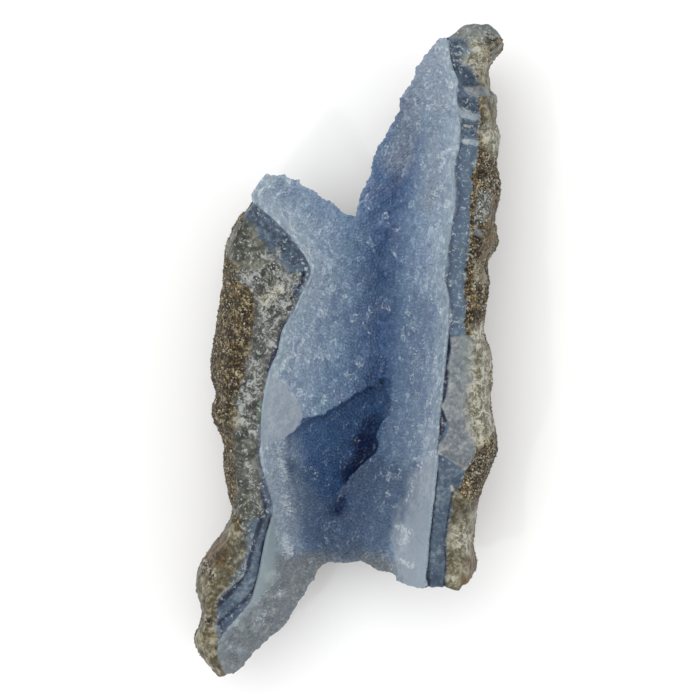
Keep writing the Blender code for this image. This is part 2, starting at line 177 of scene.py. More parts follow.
BLOCK_END = 102
STATION_STEP = 1.2
RIM_POINTS = 10
UPPER_RIND_POINTS = 12
LOWER_RIND_POINTS = 34
CUTTER_TOP = 75
CUT_OVERRUN = 4.0
BREAK_REACH = 130
BREAK_ROW_STEP = 1.6
BREAK_WANDER = 0.45
STONE_VOXEL = 0.5
STONE_TRIANGLES = 190_000

SHEET_SINK = 1.3
SHEET_THICKNESS = 0.9
BED_SPACING = 2.2
GRAIN_SPACING = 0.82
GRAIN_HEIGHT = 0.34
LIP_WIDTH = 2.2
LIP_DROP = 0.3
LIP_OVERHANG = 0.9
LIP_SINK = 0.9
CHIP_COVER = 0.12
EDGE_BUMP_WIDTH = 1.5
EDGE_BUMP_HEIGHT = 0.5
FAR = 8.0

# Named features of the rims as seen from above. Each is a kind, a half width, and (x, y) points in millimetres;
# one without a half width is an area with these corners. The dark blue and teal strips beside the crystals' edge are
# painted shadow of the crust's lip as well as the agate's own dark colour.
RIM_MARKS = (
    ("teal_and_shade", 1.2, ((-30, 43.4), (-28, 40), (-26, 37.5), (-22, 34.5))),
    # Dark teal in the recess beside the crystals' edge: painted shade over teal agate.
    ("teal_and_shade", 2.1, ((-25.5, 35), (-21, 33.5), (-18.5, 30), (-16, 26.5), (-13.5, 24.5))),
    ("pale", 0.35, ((-26.5, 28), (-24, 27), (-22, 27.8), (-20.9, 30.6))),
    # A dark strip beside the crystals' edge: painted shadow of the crust's lip over dark agate.
    ("deep_blue_and_shadow", 0.45, ((-13.6, 23.6), (-14.2, 20.5), (-16, 17.6), (-17.6, 15.2))),
    ("haze", None, (
        (-28.5, 20), (-20, 22), (-18, 14), (-20.4, 6), (-21.6, 0), (-24.5, -8), (-26.5, -20), (-27.4, -30),
        (-26, -42), (-24.6, -50), (-34, -50), (-34.4, -38), (-35, -25), (-33, -12), (-31, -2), (-29, 8),
    )),
    ("chalk", None, ((-25.6, 29.4), (-23.8, 27), (-21, 27.4), (-20.4, 31), (-21.2, 31.4), (-22.6, 29))),
    ("chalk", None, ((-20.4, 22.4), (-18.4, 19.6), (-15, 19), (-14.2, 22), (-15, 24), (-17.4, 23))),
    ("chalk", None, ((-34.4, 22), (-33, 19.6), (-30, 18.6), (-27.4, 18), (-27, 20.4), (-30.6, 20.8), (-32, 23))),
    ("chalk", None, ((-29, 4.4), (-26, 5.6), (-22.4, 2.6), (-20.6, 0.4), (-22.6, -0.6), (-26, 1.8))),
    ("chalk", None, ((-23.6, 8.6), (-21.4, 11), (-19.6, 9.6), (-21, 7.4))),
    ("chalk", None, ((-29.8, -1), (-27, -3), (-26.4, -8), (-28.4, -12), (-30.4, -8), (-30.6, -4))),
    ("chalk", None, ((-31.8, -32.6), (-29.4, -34), (-27.8, -40), (-29.6, -42.6), (-30.8, -38))),
    ("chalk", None, ((-29.6, -43), (-27.6, -44), (-26.2, -48.4), (-28.2, -49.6))),
    ("moss", None, ((-36, 36), (-31, 39.5), (-27.5, 36), (-25, 31), (-23, 25), (-26, 22), (-32, 23), (-37, 28))),
    ("steel", None, ((-31, 42.8), (-27, 38), (-22.5, 36.5), (-20, 33), (-23.5, 28.5), (-29, 31.5), (-32.5, 37))),
    ("frost", None, ((-35, 24), (-28, 23.5), (-22, 27), (-17, 19), (-15.6, 15), (-21, 6), (-27, 5), (-27, 16), (-31, 20))),
    ("beige", 0.9, ((-26, 14.6), (-23.4, 16.4), (-21.4, 18))),
    # A dark strip beside the crystals' edge: painted shadow of the crust's lip over dark agate.
    ("deep_blue_and_shadow", 0.7, ((-19.4, 7.6), (-21.4, 2), (-23.4, -3.6), (-24.2, -6.4))),
    ("frost", None, ((-30, -5), (-25.6, -2), (-26, -9), (-27.6, -17), (-28, -27), (-31.6, -25), (-34, -16), (-32, -9))),
    ("green", 0.7, ((-27.4, -15.4), (-27.8, -20))),
    ("beige", 1.0, ((-34.2, -19.6), (-33.8, -21.6))),
    ("moss", 1.7, ((-33.8, -14.8), (-31.6, -18.4), (-30.2, -23.6))),
    ("steel", 1.2, ((-28, -28), (-28.4, -34), (-26.8, -38))),
    ("moss", 0.5, ((-34.6, -25), (-32.2, -29.4), (-31, -33.4))),
    ("deep_blue_and_shadow", 0.5, ((-26.4, -43), (-25.4, -46), (-25.2, -49.4))),
    ("moss", None, ((-32.6, -43.6), (-29.4, -44.6), (-28.4, -50.6), (-32, -51.6), (-33.6, -47.6))),
    ("steel", None, (
        (-27.6, -50.4), (-23.2, -49.8), (-24.2, -56), (-26, -64), (-27.6, -70.6), (-32, -75.6), (-39, -81),
        (-40, -77), (-34, -71.4), (-30.4, -64.4), (-28.4, -56),
    )),
    ("deep_blue_and_shadow", 0.7, (
        (-26.6, -50.8), (-27.8, -55), (-29.2, -60), (-30.4, -64.4), (-32.6, -68.6), (-35.6, -72.4), (-39.4, -76.2),
    )),
    ("deep_blue_and_shadow", 0.55, (
        (-23.6, -50.2), (-24.6, -54), (-26, -60), (-26.6, -66), (-28.6, -72), (-32.4, -75.8), (-37, -79.6), (-39.4, -82),
    )),
    ("deep_blue_and_shadow", 0.4, ((-38.6, -82.6), (-38, -87), (-39.4, -92))),
    ("pale", 0.28, ((-31, -62.4), (-31.6, -66.8), (-35, -70.2), (-38.2, -72.6), (-39.8, -74.8))),
    ("olive", None, (
        (-37, -51), (-32, -53), (-30.6, -60), (-34, -67), (-38.6, -73), (-40, -81), (-44, -83), (-48, -78),
        (-47.4, -66), (-43, -58),
    )),
    ("gold", None, ((-44.6, -57), (-38, -56), (-36, -60), (-38, -65), (-44.6, -64))),
    ("umber", 1.1, ((-43.4, -64.6), (-41, -67.4))),
    ("olive", None, ((-46, -66.6), (-40, -64.6), (-36, -70.6), (-40, -76.6), (-40.6, -81), (-45, -80.6), (-46.6, -73))),
    ("umber", 0.8, ((-43.6, -81), (-41.4, -81.8))),
    ("olive", None, ((-47.6, -83), (-40, -81.6), (-39.4, -90), (-36, -98), (-42, -101), (-50, -92))),
    ("moss", 1.1, ((-31, -53), (-32.4, -58.6), (-34.4, -63))),
    ("mist", None, (
        (30.2, 93.6), (32.9, 97), (35.4, 99.5), (42.6, 99.5), (46, 96.5), (48.4, 92.6), (45.2, 93.3),
        (43.1, 94.1), (41.6, 94.9), (38, 94.1), (35, 93.8), (32.6, 93.2),
    )),
    ("teal_and_shade", None, (
        (28.6, 93.2), (35, 93.4), (35.8, 89), (34, 86.9), (37.5, 82.6), (39, 80), (36, 78.8), (31, 79), (29, 86),
    )),
    ("beige", None, (
        (34.9, 93.3), (39.6, 93.3), (40.3, 90.8), (41.3, 87.9), (41.8, 85.6), (40.8, 83.6), (39.5, 81.8),
        (37.5, 83), (35.4, 85.6), (33.9, 86.9), (35.7, 88.7), (35.9, 91.3),
    )),
    ("umber", 0.3, ((35.4, 86.6), (38, 84.6), (40.6, 83.8))),
    ("umber", 0.25, ((36.2, 88.4), (38.4, 88), (40.2, 85.6))),
    ("pale", 0.25, ((36, 94.6), (40.4, 94.2), (44.4, 93.4))),
    ("fibre", None, (
        (40.2, 93), (43.6, 93.2), (46.9, 92), (46.7, 90.8), (44.6, 88.6), (42.2, 86.4), (41.3, 88.2), (40.4, 90.8),
    )),
    ("olive", None, (
        (39.6, 83.4), (42, 84), (44, 78), (46, 74), (46, 67), (42, 65.6), (38.6, 68.2), (38.8, 75), (37, 78.6),
        (38, 81),
    )),
    ("gold", 0.8, ((42, 82.4), (43.8, 77), (44.4, 70))),
    ("pale", 0.2, ((31.6, 90.6), (32.6, 90.9), (33.5, 90.5))),
    ("pale", 0.28, ((31.4, 88.8), (32.2, 88.2), (33.2, 88.5))),
    ("pale", 0.22, ((31.8, 86.6), (32.7, 86.5), (33.4, 86.6))),
    ("pale", 0.2, ((32.2, 83.5), (33.2, 83.5))),
    ("lilac", None, (
        (33.3, 79), (35.7, 78.5), (38.5, 79.1), (41, 77.9), (42.6, 75.6), (38.8, 75.8), (36.3, 75.8), (34.7, 77),
    )),
    ("pale", 0.22, ((34.8, 76.9), (36.3, 75.8), (38.8, 75.6), (42.6, 75.3))),
    ("teal_and_shade", None, ((32, 75.8), (34.6, 76.4), (36.6, 75), (38.8, 75), (38.4, 70.8), (35, 71.6), (32.4, 73))),
    ("lace", 0.8, ((28.8, 72.8), (31.6, 72.1), (33.5, 70.4), (36, 69.3), (38.2, 69.6))),
    ("lace", 0.35, ((33.6, 72.3), (35.2, 71), (36, 69.6))),
    ("pale", 0.25, ((38.4, 69.2), (39.8, 66.9), (44.1, 66.8))),
    ("teal_and_shade", 1.9, ((33.6, 66), (38, 65.6))),
    ("lace", 0.9, ((34.2, 62.2), (36, 62.2), (37.6, 61.7))),
    ("pale", 0.3, ((34.4, 67), (36, 66.6))),
    ("beige", None, ((38.6, 66.6), (39, 64), (39.8, 60.9), (43.1, 58.4), (45.4, 61), (45.4, 66.4), (42, 66.8))),
    ("gold", 1.3, ((44.2, 66), (45, 62), (44.6, 59))),
    ("umber", None, ((39.6, 59.6), (44, 57.6), (46, 50), (44, 46), (40, 47.6), (38.4, 52))),
    ("frost", None, ((38.4, 48.6), (42, 47), (41.6, 39), (38.2, 37), (36.6, 34), (37.4, 42))),
    ("gold", 0.9, ((43.4, 46), (43, 40), (42.4, 34), (41, 28))),
    ("gold", 0.5, ((41.4, 40), (40.6, 34), (39.8, 26), (39.4, 20))),
    ("lilac", 0.9, ((37.4, 35.6), (38.8, 34.8))),
    ("beige", 0.9, ((37.6, 25), (38.2, 21.4))),
    ("pale", 0.22, ((33, 30), (34.6, 28.8), (36.8, 27.8))),
    ("pale", 0.16, ((31.4, 31.4), (32.6, 29.8), (34.2, 30.4))),
    ("lilac", None, (
        (29.7, 4), (37, 4.4), (37.4, -4), (37, -14), (37.6, -24), (37.4, -31), (34.7, -35.2), (31.3, -33.8),
        (28.7, -31.7), (25.4, -31.2), (26.4, -28.1), (28.7, -25), (29.6, -21.9), (27.7, -19.3), (26.8, -16.7),
        (28.3, -14.1), (29.4, -9.5), (29, -5), (29.8, -1),
    )),
    ("verdigris", 0.5, ((34, 3), (34.6, -3), (34.8, -9))),
    ("pale", 0.22, ((25.4, -31.2), (28.7, -31.7), (31.3, -33.8), (34.7, -35.3), (37.6, -32))),
    ("beige", None, (
        (36, 7), (40.4, 8), (42, -4), (43, -18), (43.4, -24), (38.4, -31), (35.4, -24), (34.8, -14), (35.8, -4),
    )),
    ("umber", 0.6, ((41.8, 0), (42.8, -6), (42.6, -10))),
    ("umber", 1.0, ((43, -23), (44, -28), (42, -31.6))),
    ("umber", None, ((36, -34), (40, -31), (43, -33), (39, -41), (36, -41))),
    # Dark strips beside the crystals' edge on the right rim: painted shadow of the crust's lip over dark agate.
    ("deep_blue_and_shadow", 0.8, ((28.7, 4.4), (29.2, 0.6), (28.9, -1.4))),
    ("deep_blue_and_shadow", 0.45, ((28.9, -3.3), (28.9, -3.8))),
    ("deep_blue_and_shadow", 0.9, ((28.4, -6.6), (28.2, -10), (27.5, -14.6))),
    ("deep_blue_and_shadow", 1.2, ((26.8, -18.6), (27.6, -21.2), (27, -24.6))),
    ("deep_blue_and_shadow", 0.35, ((26.2, -26.6), (25.6, -30.2))),
    ("steel", None, (
        (26, -32.6), (30.4, -35), (34.6, -36.4), (32, -42), (30, -48), (28.4, -58), (28.6, -72), (22.6, -72),
        (23, -56), (24.8, -42),
    )),
    ("deep_blue_and_shadow", 0.6, ((25.9, -32.4), (25.4, -40), (24.8, -48), (23.8, -56), (23.2, -65), (23.6, -71.6))),
    ("deep_blue_and_shadow", 0.3, ((30.8, -42.4), (29.7, -48), (28.4, -57), (28.8, -63.6), (28.2, -71.6))),
    ("olive", None, ((31, -41), (35, -44), (38.6, -46), (38, -54), (38.4, -73), (28.6, -73), (28.8, -58), (30, -48))),
    ("beige", None, ((30.4, -53), (35, -52), (36.8, -57), (35, -61.6), (31.6, -61), (29.9, -57))),
    ("gold", None, ((33, -62.6), (36.6, -61), (37.4, -71), (33, -71), (32.4, -66))),
    ("gold", 1.2, ((38, -46), (37.8, -56), (37.9, -64), (37.4, -71.4))),
    ("beige", 0.9, ((33.8, -65), (34.2, -66.4))),
    ("beige", 0.8, ((30.6, -68), (31.2, -69.4))),
    ("beige", 0.9, ((33.6, -50.4), (36.2, -50))),
    ("pale", 0.4, ((30.2, -40.6), (30.6, -42))),
)

# Features on the crystals, in the same form. The first ones are zones with soft edges: painted shade in the pocket
# below the ledge, over the lower valley, along the valley line and on the lower right wall, and zones of lighter or
# darker crystals.
DRUZY_MARKS = (
    # Painted shade in the pocket below the ledge, darkest along its lowest line.
    ("pocket_shade", None, ((-18, -21), (8, -9), (12, -22), (10, -31), (3, -40), (-3, -45), (-9, -42), (-14, -34))),
    # Painted shade over the lower valley.
    ("lower_valley_shade", None, ((-9, -34), (4, -34), (18.6, -35), (17, -44), (13.2, -52), (10.8, -61), (-6, -62), (-14, -58), (-16, -44), (-18, -34))),
    ("pocket_deep_shade", 1.2, ((6, -22), (5, -28), (3, -34), (0, -40))),
    ("pocket_deep_shade", 0.2, ((0, -40), (-2.4, -44), (-4, -49))),
    ("pocket_deep_shade", 3.0, ((5, -27), (4, -34), (1.5, -37))),
    # Painted shade along the valley line.
    ("valley_line_shade", 0.8, ((9.4, -9), (9.6, -2), (9.6, 8))),
    ("valley_line_shade", -0.6, ((9.6, 12), (9, 26), (7.5, 38))),
    ("veil", 3.5, ((14, 58), (17, 66), (21, 78), (25, 90))),
    ("veil", 1.5, ((24, 44), (25, 62), (27, 80))),
    ("shadow", 3.0, ((21, 12), (20, -12), (17, -28))),
    ("scrap", None, ((-34.7, -81.5), (-33, -80.6), (-31.7, -82.2), (-32.1, -84), (-33.5, -83.3))),
    ("scrap", None, (
        (-29.2, -78.6), (-26.7, -77.9), (-25.4, -80.4), (-26.3, -82.6), (-27.6, -83.3), (-29.4, -84.4),
        (-29.8, -83.3), (-28.3, -81.8), (-29, -80.4),
    )),
    ("scrap", None, ((-22.4, -74.6), (-21.3, -72.5), (-19.5, -72.1), (-19.3, -73.2), (-20.9, -74.6))),
    ("scrap", None, ((-25.4, -66.9), (-23.1, -66), (-21.3, -67.8), (-23.1, -70), (-24.9, -69.2))),
    ("scrap", 0.7, ((-36, -89), (-33.4, -90.6), (-31.6, -90))),
    ("veil", 3.0, ((21, -52), (20.5, -60), (20, -70))),
    ("veil", 4.5, ((-20, -32), (-19, -44), (-20.5, -56))),
    ("dusk", None, (
        (-22, -62), (-4, -60), (-8, -76), (-20, -94), (-32, -108), (-46, -102), (-40, -88), (-36, -84), (-27, -75),
    )),
    ("sea", None, (
        (-26.6, -50), (-22.6, -50), (-22.2, -58), (-22.8, -66), (-25, -72), (-29, -76), (-35, -80.5), (-38.6, -83),
        (-41, -80), (-31, -72),
    )),
    ("dusk", None, ((-12, -61), (-2, -58), (8, -60), (13, -64), (14, -73), (-12, -73))),
    ("frost", 0.7, ((-8, 12), (-10, 8.4), (-12, 5.6))),
    ("frost", 0.5, ((-12, 5.6), (-14, 4.2))),
    ("frost", 0.45, ((-7, 17), (-6, 19), (-4.9, 17.8), (-6, 15.8), (-7, 17))),
    ("frost", 0.9, ((-19.4, 47), (-18.6, 47.2))),
    ("frost", 0.5, ((-12, 40.4), (-10, 38.6), (-11, 37))),
    ("frost", 0.7, ((-9.8, 34.6), (-7.4, 36.6))),
    ("frost", 0.5, ((4, 28), (5, 25.4))),
    ("frost", 0.6, ((3.8, 8), (5, 6.6), (6, 5.2))),
    ("frost", 0.9, ((25, 46), (26.6, 48.4))),
    ("frost", 0.6, ((22, 24), (24, 21.4))),
    ("frost", 0.8, ((18.6, 7.2), (19.6, 6))),
    ("frost", 0.5, ((21.4, 2.8), (23, 1.6), (22, 0.6))),
    ("frost", 0.7, ((19.4, 0), (20.2, -2.6))),
    ("frost", 0.6, ((20.6, -5.4), (22.4, -5.2))),
    ("frost", 0.4, ((17.2, -20.4), (18.8, -21.2), (18.6, -23), (17.2, -22.6))),
    ("frost", 1.4, ((-19.4, -44), (-18, -49))),
    ("frost", 1.9, ((-19.6, -56.8), (-18.2, -60.8))),
    ("frost", 0.8, ((-22.4, -74), (-20.2, -71.8))),
    ("frost", 0.9, ((-27.6, -81.6), (-25.6, -79))),
    ("frost", 1.3, ((-20.8, -33), (-19.2, -38.6))),
    ("frost", 0.6, ((-21.6, -30.6), (-20.6, -29.2))),
    ("frost", 0.5, ((-23, -7.9), (-19.7, -9.4), (-17.6, -11.5), (-17.1, -14))),
    ("frost", 1.1, ((24, -31.4), (26, -30))),
    ("frost", 0.6, ((21.6, -36), (18.4, -38.4), (18.6, -42), (16.4, -46))),
    ("frost", 1.3, ((14.6, -53), (18, -54.6), (15.6, -58))),
    ("frost", 1.2, ((15, -63), (18.6, -64.6))),
    ("frost", 0.4, ((19, -12), (20.4, -13.4), (19.4, -15))),
    ("frost", 0.5, ((-3, -22), (-1.4, -22.8))),
    ("frost", 0.5, ((1, -26.6), (2.4, -27.4))),
    ("frost", 0.7, ((-11.4, -36), (-9.6, -37.4), (-10.6, -39))),
    ("frost", 0.6, ((12.6, -38.4), (14.8, -38))),
    ("frost", 0.7, ((30, 72.4), (25.6, 73.4), (22.6, 74))),
    ("frost", 1.3, ((27, 58), (30, 60))),
    ("frost", 0.4, ((-10.6, -34.6), (-9, -33.4), (-7.4, -34.4))),
    ("frost", 0.5, ((-8.4, 0), (-7.6, -1.6))),
)


def along(line, y):
    """The smooth curve through a line's (y, value) points, read at y."""
    places, values = np.array(line, float).T
    slopes = np.gradient(values, places)
    i = np.clip(np.searchsorted(places, y) - 1, 0, len(places) - 2)
    step = places[i + 1] - places[i]
    t = np.clip((y - places[i]) / step, 0, 1)
    ends = values[i] * (1 + 2 * t) * (1 - t) ** 2 + values[i + 1] * t**2 * (3 - 2 * t)
    bends = slopes[i] * t * (1 - t) ** 2 - slopes[i + 1] * t**2 * (1 - t)
    return ends + bends * step


def smooth_step(value):
    """0 below 0 and 1 above 1, with a smooth rise between."""
    t = np.clip(value, 0, 1)
    return t * t * (3 - 2 * t)


def lumps(x, y, z, size):
    """Smooth noise from -1 to 1 with features of this size."""
    return noise.noise(Vector((x, y, z)) / size)


lumps_at = np.vectorize(lumps)


def stroke_distance(x, y, points):
    """Distance of each place from a line of straight runs."""
    nearest = np.full(len(x), np.inf)
    points = np.array(points, float)
    for (x0, y0), (x1, y1) in zip(points, points[1:]):
        across, up = x1 - x0, y1 - y0
        t = np.clip(((x - x0) * across + (y - y0) * up) / (across**2 + up**2), 0, 1)
        nearest = np.minimum(nearest, np.hypot(x - x0 - t * across, y - y0 - t * up))
    return nearest


def inside(x, y, corners):
    """True for each place within these corners."""
    found = np.zeros(len(x), bool)
    for (x0, y0), (x1, y1) in zip(corners, (*corners[1:], corners[0])):
        if y0 != y1:
            found ^= ((y0 > y) != (y1 > y)) & (x < x0 + (y - y0) / (y1 - y0) * (x1 - x0))
    return found


def mark_distance(x, y, half_width, points):
    """How far each place lies outside a mark, below 0 inside it."""
    if half_width is not None:
        return stroke_distance(x, y, points) - half_width
    edge = stroke_distance(x, y, (*points, points[0]))
    return np.where(inside(x, y, points), -edge, edge)


def kind_distance(x, y, marks, kind):
    """How far each place lies outside the nearest mark of a kind, up to a limit."""
    nearest = np.full(len(x), FAR)
    for found, half_width, points in marks:
        if found != kind:
            continue
        low = np.min(points, axis=0) - FAR
        high = np.max(points, axis=0) + FAR
        near = (x > low[0]) & (x < high[0]) & (y > low[1]) & (y < high[1])
        nearest[near] = np.minimum(nearest[near], mark_distance(x[near], y[near], half_width, points))
    return nearest


def arc(start, end, count):
    """Points round a quarter ellipse that leaves start level and reaches end upright, without the start."""
    angle = np.linspace(0, np.pi / 2, count + 1)[1:]
    x = start[0] + (end[0] - start[0]) * np.sin(angle)
    z = end[1] + (start[1] - end[1]) * np.cos(angle)
    return list(zip(x, z))


def half_section(y, rim, rim_height, shoulder, side, side_height):
    """(x, z) points of one side of the stone at y: rim face, shoulder, rind, and under to the back."""
    rim_x, rim_z = along(rim, y), along(rim_height, y)
    shoulder_x = along(shoulder, y)
    side_x = along(side, y)
    face_x = np.linspace(rim_x, shoulder_x, RIM_POINTS + 1)
    face_z = rim_z - SHOULDER_DROP * np.linspace(0, 1, RIM_POINTS + 1) ** 2
    points = list(zip(face_x, face_z))
    points += arc(points[-1], (side_x, side_height), UPPER_RIND_POINTS)
    under = arc((0, along(BACK_HEIGHT, y)), (side_x, side_height), LOWER_RIND_POINTS)
    return points + under[-2::-1]


def section(y):
    """The closed outline of the whole block at y, from the left rim round the back to the right rim."""
    left = half_section(y, LEFT_RIM, LEFT_RIM_HEIGHT, LEFT_SHOULDER, LEFT_SIDE, LEFT_SIDE_HEIGHT)
    right = half_section(y, RIGHT_RIM, RIGHT_RIM_HEIGHT, RIGHT_SHOULDER, RIGHT_SIDE, RIGHT_SIDE_HEIGHT)
    ring = []
    for x, z in left + right[::-1]:
        grain = lumps(x, y, z, LUMP_SIZE) + 0.7 * lumps(x, y, z, LUMP_SIZE / 2)
        pit = max(0, 0.5 - noise.voronoi(Vector((x, y, z)) / PIT_SIZE)[0][0]) * 2
        under = float(smooth_step((LEFT_SIDE_HEIGHT - z) / 12))
        spread = under * (UNDER_LUMP_SPREAD * grain - PIT_DEPTH * pit)
        ring.append((x * (1 + spread), y, max(0, z + LUMP_HEIGHT * grain)))
    return ring


def valley_share(x, y):
    """0 at the valley line, 1 at either rim, seen from above."""
    valley = along(VALLEY, y)
    rim_x = np.where(x < valley, along(LEFT_RIM, y), along(RIGHT_RIM, y))
    return (x - valley) / (rim_x - valley)


def rim_height(x, y):
    """Height of the rim on this side of the valley line."""
    return np.where(x < along(VALLEY, y), along(LEFT_RIM_HEIGHT, y), along(RIGHT_RIM_HEIGHT, y))


def plain_height(x, y):
    """Height of the hollow without its ledge and fold: two walls that meet in a rounded valley."""
    floor, rim_z = along(VALLEY_HEIGHT, y), rim_height(x, y)
    t = np.minimum(valley_share(x, y), 1)
    straight = np.hypot(t, VALLEY_ROUNDING) - VALLEY_ROUNDING
    straight = straight / (np.hypot(1, VALLEY_ROUNDING) - VALLEY_ROUNDING)
    rise = (1 - WALL_HOLLOWNESS) * straight + WALL_HOLLOWNESS * t**2
    return floor + (rim_z - floor) * rise


def hollow_height(x, y):
    """Height of the hollow's surface at a place seen from above."""
    return plain_height(x, y) - pocket_depth(x, y) - fold_depth(x, y) + lumps_at(x, y, 0, 14) * 1.1


def ragged(x, y):
    """How far a broken edge strays at a place."""
    return 0.5 * lumps_at(x, y, 5, 1.6) + 0.6 * lumps_at(x, y, 5, 4)


def pocket_depth(x, y):
    """How far the pocket below the ledge lies under the plain wall."""
    ledge_x, ledge_y = np.array(LEDGE, float).T
    below = np.interp(x, ledge_x, ledge_y) - y + ragged(x, y)
    across = smooth_step((x - ledge_x[0]) / 4) * smooth_step((ledge_x[-1] + 4 - x) / 6)
    return LEDGE_DROP * across * smooth_step(below / LEDGE_FACE) * (1 - smooth_step(below / POCKET_LENGTH))


def fold_depth(x, y):
    """How far the valley lies under the right wall's lower edge."""
    past = along(FOLD, y) - x + ragged(x, y)
    ends = smooth_step((y + 46) / 10) * smooth_step((0 - y) / 6)
    return FOLD_DROP * ends * smooth_step(past / LEDGE_FACE) * (1 - smooth_step(past / FOLD_REACH))


def pocket_reach(x, y):
    """How far a place lies inside the pocket, past the ledge's edge and the fold's, below 0 outside it."""
    ledge_x, ledge_y = np.array(LEDGE, float).T
    below = np.interp(x, ledge_x, ledge_y) - y
    left = np.where(y < -44, FAR, along(FOLD, y) - x)
    return np.clip(np.minimum(below, left) + ragged(x, y), -FAR, FAR)


def crust_height(x, y):
    """Height of the crystals' bed: the hollow with the crust's own swellings, rounded off at the rims."""
    swelling = 0.45 * lumps_at(x, y, 7, 5.5) + 0.3 * lumps_at(x, y, 17, 2.6)
    from_rim = rim_distance(x, y)
    lip = np.clip(1 - from_rim / LIP_WIDTH, 0, 1)
    past = np.clip(-from_rim / LIP_OVERHANG, 0, 1)
    return hollow_height(x, y) + swelling * (1 - lip) - LIP_DROP * lip**2 - LIP_SINK * past**2


def rim_distance(x, y):
    """How far a place in the hollow lies from the nearer rim, seen from above."""
    return np.minimum(x - along(LEFT_RIM, y), along(RIGHT_RIM, y) - x)


def chip_distance(x, y):
    """How far each place lies outside the chipped patches, below 0 inside one."""
    marks = [("chip", None, corners) for corners in CHIPS]
    return kind_distance(x, y, marks, "chip")


def crystal_cover(x, y):
    """How much of a crystal's height stands at a place: all of it, or little in a chipped patch or on the lip."""
    chipped = smooth_step((chip_distance(x, y) + 0.4 * lumps_at(x, y, 1, 1.5)) / 0.5)
    lip = smooth_step((rim_distance(x, y) + lumps_at(x, y, 2, 6) - 0.4) / LIP_WIDTH)
    return CHIP_COVER + (1 - CHIP_COVER) * chipped * lip


def surface_normal(height, x, y):
    """Unit vectors that point out of a surface given as height at (x, y)."""
    step = 0.5
    along_x = (height(x + step, y) - height(x - step, y)) / (2 * step)
    along_y = (height(x, y + step) - height(x, y - step)) / (2 * step)
    normal = np.column_stack([-along_x, -along_y, np.ones_like(along_x)])
    return normal / np.linalg.norm(normal, axis=1)[:, None]


def resampled(points, step):
    """Points a step apart on straight runs between the given ones, which stay."""
    points = np.array(points, float)
    found = []
    for start, end in zip(points, points[1:]):
        count = max(1, round(np.hypot(*(end - start)) / step))
        found += [start + (end - start) * i / count for i in range(count)]
    return np.array(found + [points[-1]])


def wander(points, amount):
    """A broken edge's points, made closer and moved a little off their straight runs."""
    found = resampled(points, 0.8)
    shift = [(lumps(x, y, 3, 1.7) + lumps(x, y, 9, 4), lumps(x, y, 23, 1.7) + lumps(x, y, 29, 4)) for x, y in found]
    shift = np.array(shift) * amount
    shift[[0, -1]] = 0
    return found + shift


def bumpy(points, width, height, seed):
    """An edge with small round bumps on its left side, as crystals show against the light."""
    rng = np.random.default_rng(seed)
    points = resampled(points, width / 6)
    runs = np.concatenate([[0], np.cumsum(np.hypot(*np.diff(points, axis=0).T))])
    marks = np.concatenate([[0], np.cumsum(rng.uniform(0.6, 1.4, int(2 * runs[-1] / width)) * width)])
    tall = rng.uniform(0.3, 1.0, len(marks)) * height
    i = np.searchsorted(marks, runs, side="right") - 1
    t = (runs - marks[i]) / (marks[i + 1] - marks[i])
    rise = tall[i] * np.sqrt(np.clip(1 - (2 * t - 1) ** 2, 0, 1)) - height / 3
    forward = np.gradient(points, axis=0)
    forward /= np.hypot(*forward.T)[:, None]
    sideways = np.column_stack([-forward[:, 1], forward[:, 0]])
    rise[[0, -1]] = 0
    return points + sideways * rise[:, None]


def rim_line(line, start, end, step, outset):
    """(x, y) points along a rim from one y to another, this far outside it."""
    y = np.linspace(start, end, round(abs(end - start) / step) + 1)
    x = along(line, y)
    return np.column_stack([x + outset * np.sign(x - along(VALLEY, y)), y])


def hollow_outline(step, top, bottom, outset=0.0):
    """The hollow's outline seen from above, anticlockwise, and how far a cut runs past each of its points."""
    top, bottom = np.array(top), np.array(bottom)
    top = top[top[:, 0] < along(RIGHT_RIM, top[:, 1])]
    bottom = bottom[(bottom[:, 0] > along(LEFT_RIM, bottom[:, 1])) & (bottom[:, 0] < 22)]
    runs = (
        (rim_line(RIGHT_RIM, -70.4, 92.4, step, outset), (0, 0)),
        (top[::-1], (0, CUT_OVERRUN)),
        (rim_line(LEFT_RIM, 50.5, 46.5, step, outset), (-CUT_OVERRUN, CUT_OVERRUN / 2)),
        (rim_line(LEFT_RIM, 44.5, -95, step, outset), (0, 0)),
        (bottom, (0, -CUT_OVERRUN)),
    )
    points = np.concatenate([run for run, _ in runs])
    overrun = np.concatenate([np.tile(past, (len(run), 1)) for run, past in runs])
    return points, overrun


def wall_length(x, y):
    """Distance over the hollow's surface from the valley line to x, in the section at y."""
    valley = along(VALLEY, y)
    steps = valley + (x - valley) * np.linspace(0, 1, 24)[:, None]
    rises = np.diff(plain_height(steps, np.broadcast_to(y, steps.shape)), axis=0)
    return np.sign(x - valley) * np.hypot(np.diff(steps, axis=0), rises).sum(axis=0)


